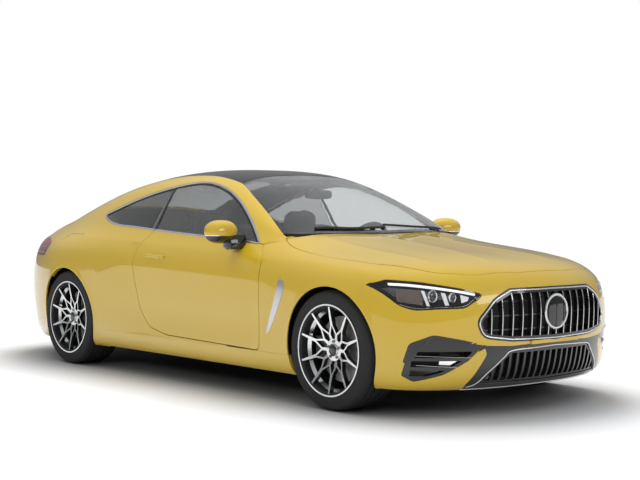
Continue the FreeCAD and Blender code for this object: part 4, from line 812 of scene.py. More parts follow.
@dataclass(frozen=True)
class Crease:
    """A pressed line that stands proud of a panel and fades away on both sides of it."""

    seen: Seen
    line: tuple[tuple[float, float], ...]
    height: float
    reach: float
    crest: float = 7.0
    fade: float = 220.0

    def rise(self, points: np.ndarray) -> np.ndarray:
        """How far each point is lifted.

        Args:
            points: Points of the panel, in millimetres.

        Returns:
            The lift of each point.
        """
        shape = points.shape[:-1]
        flat = points.reshape(-1, 3).copy()
        flat[:, 0] = np.abs(flat[:, 0])
        p = flat[:, list(self.seen.value)]
        line = smooth_line(self.line, 40.0)
        run = np.concatenate([[0.0], np.cumsum(np.linalg.norm(np.diff(line, axis=0), axis=1))])
        best = np.full(len(p), FARTHEST)
        where = np.zeros(len(p))
        for k, (a, b) in enumerate(zip(line, line[1:])):
            d = b - a
            t = np.clip(((p - a) @ d) / float(d @ d), 0, 1)
            gap = ((p - (a + t[:, None] * d)) ** 2).sum(1)
            nearer = gap < best
            best = np.where(nearer, gap, best)
            where = np.where(nearer, run[k] + t * (run[k + 1] - run[k]), where)
        off = np.sqrt(best + self.crest**2) - self.crest
        ends = np.clip(np.minimum(where, run[-1] - where) / self.fade, 0, 1)
        return (self.height * np.exp(-off / self.reach) * ends * ends * (3 - 2 * ends)).reshape(shape)


@dataclass(frozen=True)
class ArchLip:
    """The rolled lip round a wheel arch."""

    y: float
    height: float = 2.5
    reach: float = 16.0

    def rise(self, points: np.ndarray) -> np.ndarray:
        """How far each point is lifted."""
        r = np.hypot(points[..., 1] - self.y, points[..., 2] - TYRE_RADIUS)
        off = np.abs(r - ARCH_RADIUS - 6)
        return self.height * np.exp(-(off / self.reach) ** 2)


SHOULDER = Crease(Seen.FROM_SIDE, ((1600, 926), (1200, 922), (446, 899), (-318, 869), (-922, 835), (-1300, 824),
                                   (-1560, 812)), 3.2, 38.0, 9.0)
FLANK = Crease(Seen.FROM_SIDE, ((947, 640), (860, 668), (764, 703), (602, 743), (404, 750), (-342, 728),
                                (-950, 705), (-1080, 704)), 4.6, 46.0, 6.0, 160.0)
SKIRT = Crease(Seen.FROM_SIDE, ((700, 236), (439, 266), (100, 262), (-321, 249), (-700, 234), (-1080, 216)),
               5.0, 16.0, 8.0)
HOOD_OUTER = Crease(Seen.FROM_TOP, ((520, -1010), (548, -1152), (572, -1500), (575, -1772), (556, -2100),
                                    (520, -2240)), 4.5, 42.0, 8.0)
HOOD_INNER = Crease(Seen.FROM_TOP, ((205, -1040), (190, -1300), (182, -1623), (215, -1850), (250, -2005),
                                    (251, -2260)), 3.2, 48.0, 9.0)


def linked(name: str, data: bpy.types.ID) -> bpy.types.Object:
    """Makes an object of some data and links it to the scene."""
    made = bpy.data.objects.new(name, data)
    bpy.context.scene.collection.objects.link(made)
    return made


@dataclass
class Shell:
    """A mesh under construction: points and normals in millimetres, and faces."""

    points: np.ndarray
    normals: np.ndarray
    faces: list[tuple[int, ...]]

    def mirrored(self) -> Shell:
        """The same shell on the other side of the car."""
        return Shell(self.points * FLIP, self.normals * FLIP, [tuple(reversed(f)) for f in self.faces])

    def joined(self, other: Shell) -> Shell:
        """This shell and another as one."""
        n = len(self.points)
        return Shell(np.vstack([self.points, other.points]), np.vstack([self.normals, other.normals]),
                     self.faces + [tuple(i + n for i in f) for f in other.faces])

    def build(self, name: str) -> bpy.types.Object:
        """Makes the shell a mesh object in metres, with its own normals.

        Args:
            name: The object's name.

        Returns:
            The new object, linked to the scene.
        """
        mesh = bpy.data.meshes.new(name)
        mesh.from_pydata((self.points * MILLI).tolist(), [], self.faces)
        mesh.update()
        for polygon in mesh.polygons:
            polygon.use_smooth = True
        mesh.normals_split_custom_set_from_vertices(self.normals.tolist())
        made = linked(name, mesh)
        return made


@dataclass
class PanelCut:
    """A panel cut from a spline net along outlines, with its edges rolled in."""

    net: SplineNet
    u: tuple[float, float]
    v: tuple[float, float]
    keep: tuple[Region, ...] = ()
    cut: tuple[Region, ...] = ()
    lift: float = 0.7
    radius: float = 2.0
    hem: float = 5.0
    cell: float = 11.0
    reliefs: tuple[Relief, ...] = ()

    def surface(self) -> tuple[np.ndarray, np.ndarray]:
        """The net's points and normals on a grid of about the cell size, with the relief laid on.

        Returns:
            Points and normals, each rows by columns by 3.
        """
        cu, cv = np.linspace(*self.u, 9), np.linspace(*self.v, 9)
        coarse, _ = self.net.sample(*np.meshgrid(cu, cv, indexing="ij"))
        wide = np.linalg.norm(np.diff(coarse, axis=0), axis=2).sum(0).max()
        high = np.linalg.norm(np.diff(coarse, axis=1), axis=2).sum(1).max()
        us = np.linspace(*self.u, max(4, int(wide / self.cell)))
        vs = np.linspace(*self.v, max(4, int(high / self.cell)))
        points, normals = self.net.sample(*np.meshgrid(us, vs, indexing="ij"))
        height = np.full(points.shape[:2], self.lift)
        for relief in self.reliefs:
            height = height + relief.rise(points)
        points = points + normals * height[..., None]
        normals = np.cross(np.gradient(points, axis=0), np.gradient(points, axis=1))
        return points, normals / np.maximum(np.linalg.norm(normals, axis=2, keepdims=True), TINY)

    def depth(self, points: np.ndarray) -> np.ndarray:
        """How far inside the panel each point lies, negative outside.

        Args:
            points: Array of points, in millimetres.

        Returns:
            Signed distances.
        """
        value = np.full(len(points), DEEPEST)
        for outline in self.keep:
            value = np.minimum(value, outline.depth(points))
        for outline in self.cut:
            value = np.minimum(value, -outline.depth(points))
        return value

    def outer(self) -> Shell:
        """The panel's outside, clipped where its depth falls to the edge roll.

        Returns:
            The clipped shell.
        """
        grid, grid_normals = self.surface()
        n, m = grid.shape[:2]
        points, normals = grid.reshape(-1, 3), grid_normals.reshape(-1, 3)
        depth = self.depth(points) - self.radius + self.lift
        index = np.arange(n * m).reshape(n, m)
        quads = np.stack([index[:-1, :-1], index[1:, :-1], index[1:, 1:], index[:-1, 1:]], axis=-1)
        quads = quads.reshape(-1, 4)
        inside = depth[quads] > 0
        faces = [tuple(int(i) for i in q) for q in quads[inside.all(1)]]
        extra: list[np.ndarray] = []
        extra_normals: list[np.ndarray] = []
        known: dict[tuple[int, int], int] = {}
        for quad in quads[inside.any(1) & ~inside.all(1)]:
            ring: list[int] = []
            for a, b in zip(quad, np.roll(quad, -1)):
                if depth[a] > 0:
                    ring.append(int(a))
                if (depth[a] > 0) != (depth[b] > 0):
                    key = (int(min(a, b)), int(max(a, b)))
                    if key not in known:
                        t = float(np.clip(depth[key[0]] / (depth[key[0]] - depth[key[1]]), *CUT_SHARE))
                        known[key] = n * m + len(extra)
                        extra.append(points[key[0]] * (1 - t) + points[key[1]] * t)
                        extra_normals.append(normals[key[0]] * (1 - t) + normals[key[1]] * t)
                    ring.append(known[key])
            if len(ring) > 2:
                faces.append(tuple(ring))
        if extra:
            points = np.vstack([points, np.array(extra)])
            normals = np.vstack([normals, np.array(extra_normals)])
        return tidy(Shell(points, normals, faces))

    def rolled(self) -> Shell:
        """The panel's outside with its edges rolled over and turned in.

        Returns:
            The shell with its hems.
        """
        shell = self.outer()
        turns = [math.radians(a) for a in (22, 45, 68, 90)]
        rows = [(self.radius * math.sin(t), self.radius * (1 - math.cos(t)), t) for t in turns]
        rows.append((self.radius, self.hem, math.pi / 2))
        return with_hem(shell, rows)

    def pane(self, wall: float) -> Shell:
        """The panel as a closed sheet of even thickness.

        Args:
            wall: The thickness, in millimetres.

        Returns:
            The closed shell.
        """
        front = self.outer()
        back = Shell(front.points - front.normals * wall, -front.normals,
                     [tuple(reversed(f)) for f in front.faces])
        n = len(front.points)
        both = front.joined(back)
        for a, b in open_edges(front.faces):
            both.faces.append((b, a, a + n, b + n))
        return both


def tidy(shell: Shell) -> Shell:
    """Drops the points that no face uses and makes the normals unit long.

    Args:
        shell: The shell.

    Returns:
        The shell that is left.
    """
    used = np.unique(np.concatenate([np.array(f) for f in shell.faces]))
    place = np.full(len(shell.points), -1)
    place[used] = np.arange(len(used))
    normals = shell.normals[used]
    normals = normals / np.maximum(np.linalg.norm(normals, axis=1, keepdims=True), TINY)
    return Shell(shell.points[used], normals, [tuple(int(place[i]) for i in f) for f in shell.faces])


def open_edges(faces: list[tuple[int, ...]]) -> list[tuple[int, int]]:
    """The edges that only one face uses, in that face's direction."""
    edges = {(a, b) for f in faces for a, b in zip(f, f[1:] + f[:1])}
    return [(a, b) for a, b in edges if (b, a) not in edges]


def with_hem(shell: Shell, rows: list[tuple[float, float, float]]) -> Shell:
    """Adds rows of points beyond every open edge.

    Args:
        shell: The shell to finish.
        rows: For each row, its reach past the edge, its drop below the surface and its normal's turn.

    Returns:
        The shell with the rows joined on.
    """
    edges = open_edges(shell.faces)
    after = {a: b for a, b in edges}
    before = {b: a for a, b in edges}
    rim = sorted(after)
    points, normals, faces = [shell.points], [shell.normals], list(shell.faces)
    base = {i: i for i in rim}
    place = np.array(rim)
    ahead = np.array([shell.points[after[i]] - shell.points[before.get(i, i)] for i in rim])
    n = shell.normals[place]
    out = np.cross(ahead, n)
    out /= np.maximum(np.linalg.norm(out, axis=1, keepdims=True), TINY)
    count = len(shell.points)
    for reach, drop, turn in rows:
        points.append(shell.points[place] + out * reach - n * drop)
        normals.append(n * math.cos(turn) + out * math.sin(turn))
        layer = {i: count + k for k, i in enumerate(rim)}
        count += len(rim)
        for a, b in edges:
            faces.append((base[b], base[a], layer[a], layer[b]))
        base = layer
    return Shell(np.vstack(points), np.vstack(normals), faces)


Wire = tuple[bpy.types.Node, "str | int", bpy.types.Node, "str | int"]


def connect(tree: bpy.types.NodeTree, *wires: Wire) -> None:
    """Links nodes; a wire is a node, its output, the next node and its input."""
    for start, source, end, target in wires:
        tree.links.new(start.outputs[source], end.inputs[target])


class NodeGroups:
    """Effects that several finishes share, each built once."""

    @staticmethod
    def variation() -> bpy.types.NodeTree:
        """Slow changes of colour and roughness with a fine grain on top.

        Returns:
            The group, with the outputs Colour, Roughness and Height.
        """
        known = bpy.data.node_groups.get("surface_variation")
        if known is not None:
            return known
        tree = bpy.data.node_groups.new("surface_variation", "ShaderNodeTree")
        for name, kind, value in (("Colour", "Color", (0.5, 0.5, 0.5, 1)),
                                  ("Shade", "Color", (0.4, 0.4, 0.4, 1)),
                                  ("Patches", "Float", 3.0), ("Grain", "Float", 800.0),
                                  ("Roughness", "Float", 0.5), ("Spread", "Float", 0.1)):
            tree.interface.new_socket(name, in_out="INPUT",
                                      socket_type=f"NodeSocket{kind}").default_value = value
        for name, kind in (("Colour", "Color"), ("Roughness", "Float"), ("Height", "Float")):
            tree.interface.new_socket(name, in_out="OUTPUT", socket_type=f"NodeSocket{kind}")
        nodes = tree.nodes
        given, result = nodes.new("NodeGroupInput"), nodes.new("NodeGroupOutput")
        place = nodes.new("ShaderNodeTexCoord")
        slow, fine = nodes.new("ShaderNodeTexNoise"), nodes.new("ShaderNodeTexNoise")
        slow.inputs["Detail"].default_value = 4.0
        fine.inputs["Detail"].default_value = 1.0
        blend = nodes.new("ShaderNodeMix")
        blend.data_type = "RGBA"
        centred, scaled, total = (nodes.new("ShaderNodeMath") for _ in range(3))
        centred.operation, scaled.operation, total.operation = "SUBTRACT", "MULTIPLY", "ADD"
        centred.inputs[1].default_value = 0.5
        total.use_clamp = True
        for texture, scale in ((slow, "Patches"), (fine, "Grain")):
            connect(tree, (place, "Object", texture, "Vector"), (given, scale, texture, "Scale"))
        connect(tree, (slow, "Fac", blend, "Factor"), (given, "Colour", blend, "A"),
                      (given, "Shade", blend, "B"), (slow, "Fac", centred, 0), (centred, 0, scaled, 0),
                      (given, "Spread", scaled, 1), (scaled, 0, total, 0), (given, "Roughness", total, 1),
                      (blend, "Result", result, "Colour"), (total, 0, result, "Roughness"),
                      (fine, "Fac", result, "Height"))
        return tree

    @staticmethod
    def hide() -> bpy.types.NodeTree:
        """The pebbled grain of leather and of soft moulded plastic.

        Returns:
            The group, with the output Height.
        """
        known = bpy.data.node_groups.get("pebbled_grain")
        if known is not None:
            return known
        tree = bpy.data.node_groups.new("pebbled_grain", "ShaderNodeTree")
        tree.interface.new_socket("Scale", in_out="INPUT", socket_type="NodeSocketFloat").default_value = 400.0
        tree.interface.new_socket("Height", in_out="OUTPUT", socket_type="NodeSocketFloat")
        nodes = tree.nodes
        given, result = nodes.new("NodeGroupInput"), nodes.new("NodeGroupOutput")
        place, cells = nodes.new("ShaderNodeTexCoord"), nodes.new("ShaderNodeTexVoronoi")
        cells.feature = "DISTANCE_TO_EDGE"
        soft = nodes.new("ShaderNodeMapRange")
        soft.inputs["From Max"].default_value = 0.25
        connect(tree, (place, "Object", cells, "Vector"), (given, "Scale", cells, "Scale"),
                      (cells, "Distance", soft, "Value"), (soft, "Result", result, "Height"))
        return tree

    @staticmethod
    def facing() -> bpy.types.NodeTree:
        """A mask of the faces that point out sideways from the car, as the fronts of wheel spokes do.

        Returns:
            The group, with the output Mask.
        """
        known = bpy.data.node_groups.get("sideways_faces")
        if known is not None:
            return known
        tree = bpy.data.node_groups.new("sideways_faces", "ShaderNodeTree")
        tree.interface.new_socket("Least", in_out="INPUT", socket_type="NodeSocketFloat").default_value = 0.7
        tree.interface.new_socket("Most", in_out="INPUT", socket_type="NodeSocketFloat").default_value = 0.8
        tree.interface.new_socket("Mask", in_out="OUTPUT", socket_type="NodeSocketFloat")
        nodes = tree.nodes
        given, result = nodes.new("NodeGroupInput"), nodes.new("NodeGroupOutput")
        place = nodes.new("ShaderNodeTexCoord")
        way, spot = nodes.new("ShaderNodeSeparateXYZ"), nodes.new("ShaderNodeSeparateXYZ")
        sign, outward = nodes.new("ShaderNodeMath"), nodes.new("ShaderNodeMath")
        step = nodes.new("ShaderNodeMapRange")
        sign.operation, outward.operation = "SIGN", "MULTIPLY"
        connect(tree, (place, "Normal", way, 0), (place, "Object", spot, 0), (spot, "X", sign, 0),
                      (way, "X", outward, 0), (sign, 0, outward, 1), (outward, 0, step, "Value"),
                      (given, "Least", step, "From Min"), (given, "Most", step, "From Max"),
                      (step, "Result", result, "Mask"))
        return tree


COAT_ROUGHNESS = 0.03
BUMP_DEPTH = 0.0005  # metres
SPOKE_MASK = (0.62, 0.72)  # how far outwards a spoke's machined face points
SHELL_MASK = (-0.32, -0.28)  # how far inwards a panel's underside points
UNDERSIDE = (0.012, 0.012, 0.013, 1.0)


class Kind(Enum):
    """How a finish is built."""

    PLAIN = "plain"
    PAINTED_SHELL = "painted shell"
    HIDE = "hide"
    SPOKED = "spoked"
    CLEAR = "clear"


@dataclass(frozen=True)
class Finish:
    """A surface finish, by its plain shader values."""

    name: str
    colour: tuple[float, float, float]
    roughness: float = 0.5
    metallic: float = 0.0
    coat: float = 0.0
    slot: str = "black_plastic"
    kind: Kind = Kind.PLAIN
    ior: float = 1.45
    shade: float = 0.82
    patches: float = 3.0
    grain: float = 900.0
    bump: float = 0.1
    spread: float = 0.08
    emission: float = 0.0

    def material(self) -> bpy.types.Material:
        """Builds the finish as a material, once.

        Returns:
            The material.
        """
        known = bpy.data.materials.get(self.name)
        if known is not None:
            return known
        made = bpy.data.materials.new(self.name)
        made.use_nodes = True
        shader = made.node_tree.nodes["Principled BSDF"]
        shader.inputs["Base Color"].default_value = (*self.colour, 1.0)
        shader.inputs["Roughness"].default_value = self.roughness
        shader.inputs["Metallic"].default_value = self.metallic
        shader.inputs["Coat Weight"].default_value = self.coat
        shader.inputs["Coat Roughness"].default_value = COAT_ROUGHNESS
        shader.inputs["IOR"].default_value = self.ior
        if self.emission:
            shader.inputs["Emission Color"].default_value = (*self.colour, 1.0)
            shader.inputs["Emission Strength"].default_value = self.emission
        if self.kind is Kind.CLEAR:
            shader.inputs["Transmission Weight"].default_value = 1.0
        else:
            self._texture(made.node_tree, shader)
        return made

    def _texture(self, tree: bpy.types.NodeTree, shader: bpy.types.Node) -> None:
        """Joins the shared effects to the shader.

        Args:
            tree: The material's tree.
            shader: Its principled shader.
        """
        group = tree.nodes.new("ShaderNodeGroup")
        group.node_tree = NodeGroups.variation()
        group.inputs["Colour"].default_value = (*self.colour, 1.0)
        group.inputs["Shade"].default_value = (*(c * self.shade for c in self.colour), 1.0)
        for name, value in (("Patches", self.patches), ("Grain", self.grain), ("Roughness", self.roughness),
                            ("Spread", self.spread)):
            group.inputs[name].default_value = value
        colour, height = (group, "Colour"), (group, "Height")
        if self.kind is Kind.HIDE:
            hide = tree.nodes.new("ShaderNodeGroup")
            hide.node_tree = NodeGroups.hide()
            hide.inputs["Scale"].default_value = self.grain
            height = (hide, "Height")
        if self.kind in (Kind.SPOKED, Kind.PAINTED_SHELL):
            colour = (self._two_sided(tree, shader, colour), "Result")
        connect(tree, (*colour, shader, "Base Color"), (group, "Roughness", shader, "Roughness"))
        bump = tree.nodes.new("ShaderNodeBump")
        bump.inputs["Strength"].default_value = self.bump
        bump.inputs["Distance"].default_value = BUMP_DEPTH
        connect(tree, (*height, bump, "Height"), (bump, "Normal", shader, "Normal"))

    def _two_sided(self, tree: bpy.types.NodeTree, shader: bpy.types.Node,
                   colour: tuple[bpy.types.Node, str]) -> bpy.types.Node:
        """Gives the faces that point away from the outside a dark colour.

        Args:
            tree: The material's tree.
            shader: Its principled shader.
            colour: The node and output with the outside's colour.

        Returns:
            The node whose result is the colour of both.
        """
        mask = tree.nodes.new("ShaderNodeGroup")
        mask.node_tree = NodeGroups.facing()
        spoked = self.kind is Kind.SPOKED
        least, most = SPOKE_MASK if spoked else SHELL_MASK
        mask.inputs["Least"].default_value = least
        mask.inputs["Most"].default_value = most
        blend = tree.nodes.new("ShaderNodeMix")
        blend.data_type = "RGBA"
        blend.inputs["A"].default_value = UNDERSIDE
        connect(tree, (mask, "Mask", blend, "Factor"), (*colour, blend, "B"))
        if spoked:
            connect(tree, (mask, "Mask", shader, "Metallic"))
        return blend


YELLOW = (0.610, 0.405, 0.020)
PAINT = Finish("yellow_paint", YELLOW, 0.34, 0.0, 1.0, "body_paint", shade=0.94, patches=1.5,
               grain=2600.0, bump=0.015, spread=0.03)
SHELL_PAINT = Finish("yellow_paint_dark_inside", YELLOW, 0.34, 0.0, 1.0, "body_paint",
                     Kind.PAINTED_SHELL, shade=0.94, patches=1.5, grain=2600.0, bump=0.015, spread=0.03)
GLASS = Finish("tinted_glass", (0.86, 0.88, 0.88), 0.0, 0.0, 0.0, "window_glass", Kind.CLEAR, 1.5)
DARK_GLASS = Finish("dark_glass", (0.36, 0.37, 0.37), 0.0, 0.0, 0.0, "side_glass", Kind.CLEAR, 1.5)
SIDE_TINT = Finish("side_window_glass", (0.74, 0.76, 0.76), 0.0, 0.0, 0.0, "side_glass", Kind.CLEAR, 1.5)
ROOF_GLASS = Finish("roof_glass", (0.008, 0.008, 0.009), 0.03, 0.0, 1.0, "roof_glass", bump=0.0, spread=0.0)
CLEAR_LENS = Finish("clear_lens", (0.96, 0.97, 0.98), 0.0, 0.0, 0.0, "lamp_glass", Kind.CLEAR, 1.3)
GLOSS_BLACK = Finish("gloss_black", (0.010, 0.010, 0.010), 0.10, 0.0, 0.6, "black_gloss", bump=0.01)
TRIM_BLACK = Finish("grained_black", (0.022, 0.022, 0.022), 0.5, slot="black_plastic", kind=Kind.HIDE,
                    grain=1500.0, bump=0.35, spread=0.15)
PRIMER = Finish("dark_primer", (0.03, 0.03, 0.032), 0.6, slot="structure_metal", bump=0.2)
CAST = Finish("cast_metal", (0.16, 0.16, 0.165), 0.5, 0.9, slot="cast_metal", bump=0.5, shade=0.6)
BRIGHT = Finish("satin_bright", (0.80, 0.80, 0.81), 0.20, 1.0, slot="bright_steel", bump=0.05, spread=0.06)
SILVER = Finish("silver_trim", (0.66, 0.67, 0.69), 0.30, 1.0, slot="wheel_metal", bump=0.05, shade=0.9)
SPOKES = Finish("machined_spokes", (0.78, 0.79, 0.80), 0.24, 1.0, 0.4, "wheel_metal", Kind.SPOKED,
                grain=2200.0, bump=0.12, spread=0.12)
TYRE = Finish("tyre_rubber", (0.020, 0.020, 0.020), 0.62, slot="tyre_rubber", shade=0.7, grain=1200.0, bump=0.3)
BRAKE = Finish("ground_iron", (0.36, 0.35, 0.34), 0.38, 1.0, slot="brake_iron", shade=0.7, bump=0.2)
LEATHER = Finish("black_leather", (0.028, 0.028, 0.029), 0.42, slot="seat_leather", kind=Kind.HIDE, grain=700.0,
                 bump=0.5, spread=0.2)
THREAD = Finish("seat_thread", (0.20, 0.20, 0.20), 0.7, slot="seat_leather", bump=0.4)
TAIL_RED = Finish("red_lens", (0.10, 0.004, 0.005), 0.08, 0.0, 1.0, slot="tail_lamp_glass", bump=0.01)
TAIL_BRIGHT = Finish("tail_light_guide", (0.55, 0.02, 0.02), 0.2, slot="tail_lamp_glass", emission=0.15,
                     bump=0.0)
WHITE_GLOW = Finish("white_light_guide", (0.92, 0.95, 1.0), 0.2, slot="lamp_glass", emission=0.75, bump=0.0)
SMOKED = Finish("smoked_reflector", (0.10, 0.065, 0.045), 0.18, 0.5, 0.8, "lamp_housing", bump=0.02)
CHROME = Finish("bright_reflector", (0.85, 0.86, 0.88), 0.12, 1.0, slot="lamp_housing", bump=0.02)
MIRROR_GLASS = Finish("mirror_glass", (0.86, 0.88, 0.89), 0.02, 1.0, slot="bright_steel", bump=0.0, spread=0.0)
SCREEN_GLASS = Finish("display_glass", (0.006, 0.007, 0.009), 0.06, 0.0, 0.8, "black_gloss", bump=0.0)

NODE_FINISH: dict[str, Finish] = {
    "door": SHELL_PAINT, "door_glass": SIDE_TINT, "mirror": PAINT, "side_frame": SHELL_PAINT,
    "front_fenders": PAINT, "side_skirts": PAINT, "quarter_glass": DARK_GLASS, "headlamps": GLOSS_BLACK,
    "headlamp_lenses": CLEAR_LENS, "tail_lamps": TAIL_RED, "front_seats": LEATHER,
    "front_arch_liners": TRIM_BLACK,
    "rear_arch_liners": TRIM_BLACK, "windscreen": GLASS, "roof_panel": ROOF_GLASS, "rear_window": DARK_GLASS,
    "front_bumper": PAINT, "grille": GLOSS_BLACK, "intakes": GLOSS_BLACK, "rear_bumper": PAINT,
    "diffuser": TRIM_BLACK, "bonnet": PAINT, "boot_lid": PAINT, "front_structure": PRIMER, "floor": TRIM_BLACK,
    "rear_structure": TRIM_BLACK, "front_axle": CAST, "rear_axle": CAST, "engine": CAST, "exhaust": BRIGHT,
    "rear_bench": LEATHER, "dashboard": TRIM_BLACK, "steering_wheel": LEATHER, "knuckle": CAST, "rim": SPOKES,
    "tyre": TYRE, "disc": BRAKE, "fender_blades": SILVER,
}


def node_finish(node: str) -> Finish:
    """The finish of a CAD node, by its name without its place."""
    best = max((key for key in NODE_FINISH if node.startswith(key)), key=len)
    return NODE_FINISH[best]


def dress(made: bpy.types.Object, finish: Finish) -> bpy.types.Object:
    """Gives a piece one finish all over."""
    made.data.materials.clear()
    made.data.materials.append(finish.material())
    return made


def place(made: bpy.types.Object, body: str, *nodes: str) -> bpy.types.Object:
    """Fixes a piece to a body, in the place of CAD nodes where some are named.

    Args:
        made: The piece.
        body: The body that it moves with.
        *nodes: The CAD nodes that it stands for.

    Returns:
        The piece.
    """
    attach(made, body)
    if nodes:
        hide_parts(*nodes)
    LOG.info("placed %s on %s", made.name, body)
    return made


Faces = list[tuple[int, ...]]


def loft_faces(rings: int, steps: int, closed: bool = False, capped: bool = False, whole: bool = True) -> Faces:
    """The faces between rings of points.

    Args:
        rings: How many rings there are.
        steps: How many points a ring has.
        closed: True where the last ring joins the first.
        capped: True where the first and the last ring are filled.
        whole: True where a ring's last point joins its first.

    Returns:
        The faces.
    """
    faces: Faces = []
    for i in range(rings if closed else rings - 1):
        here, there = i * steps, (i + 1) % rings * steps
        faces += [(here + k, here + (k + 1) % steps, there + (k + 1) % steps, there + k)
                  for k in range(steps if whole else steps - 1)]
    if capped:
        faces += [tuple(range(steps)), tuple(range((rings - 1) * steps, rings * steps))]
    return faces


def facing_ahead(points: np.ndarray, place_at: Sequence[float]) -> np.ndarray:
    """Turns a revolved shape so that its axle runs along the car, and moves it to a place."""
    return points[:, [1, 0, 2]] + np.array(place_at)


def solid_piece(name: str, points: np.ndarray, faces: Faces, finish: Finish, sharp: float = 35.0,
                mirror: bool = False) -> bpy.types.Object:
    """Makes a mesh piece whose faces point outwards.

    Args:
        name: The piece's name.
        points: Its points, in millimetres.
        faces: Its faces.
        finish: Its finish.
        sharp: The angle past which an edge looks sharp, in degrees.
        mirror: True to make it on the other side of the car.

    Returns:
        The new object, linked to the scene.
    """
    mesh = bpy.data.meshes.new(name)
    mesh.from_pydata(((points * FLIP if mirror else points) * MILLI).tolist(), [], faces)
    work = bmesh.new()
    work.from_mesh(mesh)
    bmesh.ops.remove_doubles(work, verts=work.verts, dist=WELD)
    bmesh.ops.recalc_face_normals(work, faces=work.faces)
    work.to_mesh(mesh)
    work.free()
    soften(mesh, sharp)
    made = linked(name, mesh)
    return dress(made, finish)


def soften(mesh: bpy.types.Mesh, sharp: float) -> None:
    """Shades a mesh smoothly, apart from edges past an angle in degrees."""
    for polygon in mesh.polygons:
        polygon.use_smooth = True
    mesh.set_sharp_from_angle(angle=math.radians(sharp))


class GeometryTrees:
    """The node trees that make what repeats or follows a line."""

    @staticmethod
    def _begin(name: str, sockets: Sequence[tuple[str, str]]) -> bpy.types.NodeTree:
        """Starts a tree with named inputs.

        Args:
            name: The tree's name.
            sockets: Each input's name and kind.

        Returns:
            The tree, with its first and last nodes.
        """
        tree = bpy.data.node_groups.new(name, "GeometryNodeTree")
        tree.interface.new_socket("Geometry", in_out="INPUT", socket_type="NodeSocketGeometry")
        for socket, kind in sockets:
            tree.interface.new_socket(socket, in_out="INPUT", socket_type=f"NodeSocket{kind}")
        tree.interface.new_socket("Geometry", in_out="OUTPUT", socket_type="NodeSocketGeometry")
        tree.nodes.new("NodeGroupInput")
        tree.nodes.new("NodeGroupOutput")
        return tree

    @staticmethod
    def _finish(tree: bpy.types.NodeTree, last: bpy.types.Node, output: str) -> None:
        """Realizes the geometry and gives it its material.

        Args:
            tree: The tree.
            last: The node whose geometry is realized.
            output: The name of that node's output.
        """
        real, paint = tree.nodes.new("GeometryNodeRealizeInstances"), tree.nodes.new("GeometryNodeSetMaterial")
        given, result = tree.nodes["Group Input"], tree.nodes["Group Output"]
        connect(tree, (last, output, real, "Geometry"), (real, "Geometry", paint, "Geometry"),
                (given, "Material", paint, "Material"), (paint, "Geometry", result, "Geometry"))

    @classmethod
    def ring(cls) -> bpy.types.NodeTree:
        """Copies of a piece turned evenly round an axle that runs across the car.

        Returns:
            The tree, with the inputs Count and Centre.
        """
        known = bpy.data.node_groups.get("ring_of_copies")
        if known is not None:
            return known
        tree = cls._begin("ring_of_copies", (("Count", "Int"), ("Centre", "Vector"), ("Material", "Material")))
        nodes, given = tree.nodes, tree.nodes["Group Input"]
        line, copies = nodes.new("GeometryNodeMeshLine"), nodes.new("GeometryNodeInstanceOnPoints")
        index, turn = nodes.new("GeometryNodeInputIndex"), nodes.new("ShaderNodeMath")
        share = nodes.new("ShaderNodeMath")
        angle, shift = nodes.new("ShaderNodeCombineXYZ"), nodes.new("GeometryNodeTransform")
        line.inputs["Offset"].default_value = (0, 0, 0)
        share.operation, turn.operation = "DIVIDE", "MULTIPLY"
        turn.inputs[1].default_value = 2 * math.pi
        connect(tree, (given, "Count", line, "Count"), (line, "Mesh", copies, "Points"),
                      (given, "Geometry", copies, "Instance"), (index, "Index", share, 0),
                      (given, "Count", share, 1), (share, 0, turn, 0), (turn, 0, angle, "X"),
                      (angle, 0, copies, "Rotation"), (copies, "Instances", shift, "Geometry"),
                      (given, "Centre", shift, "Translation"))
        cls._finish(tree, shift, "Geometry")
        return tree

    @classmethod
    def row(cls) -> bpy.types.NodeTree:
        """Copies of a piece in a straight row.

        Returns:
            The tree, with the inputs Count and Offset.
        """
        known = bpy.data.node_groups.get("row_of_copies")
        if known is not None:
            return known
        tree = cls._begin("row_of_copies", (("Count", "Int"), ("Offset", "Vector"), ("Material", "Material")))
        nodes, given = tree.nodes, tree.nodes["Group Input"]
        line, copies = nodes.new("GeometryNodeMeshLine"), nodes.new("GeometryNodeInstanceOnPoints")
        connect(tree, (given, "Count", line, "Count"), (given, "Offset", line, "Offset"),
                      (line, "Mesh", copies, "Points"), (given, "Geometry", copies, "Instance"))
        cls._finish(tree, copies, "Instances")
        return tree

    @classmethod
    def dashes(cls) -> bpy.types.NodeTree:
        """Short round stitches spaced evenly along each run of edges.

        Returns:
            The tree, with the inputs Radius, Spacing and Length.
        """
        known = bpy.data.node_groups.get("stitches_along_line")
        if known is not None:
            return known
        tree = cls._begin("stitches_along_line", (("Radius", "Float"), ("Spacing", "Float"),
                                                  ("Length", "Float"), ("Material", "Material")))
        nodes, given = tree.nodes, tree.nodes["Group Input"]
        curve, points = nodes.new("GeometryNodeMeshToCurve"), nodes.new("GeometryNodeCurveToPoints")
        points.mode = "LENGTH"
        thread, copies = nodes.new("GeometryNodeMeshCylinder"), nodes.new("GeometryNodeInstanceOnPoints")
        thread.inputs["Vertices"].default_value = 6
        connect(tree, (given, "Geometry", curve, "Mesh"), (curve, "Curve", points, "Curve"),
                      (given, "Spacing", points, "Length"), (given, "Radius", thread, "Radius"),
                      (given, "Length", thread, "Depth"), (points, "Points", copies, "Points"),
                      (points, "Rotation", copies, "Rotation"), (thread, "Mesh", copies, "Instance"))
        cls._finish(tree, copies, "Instances")
        return tree


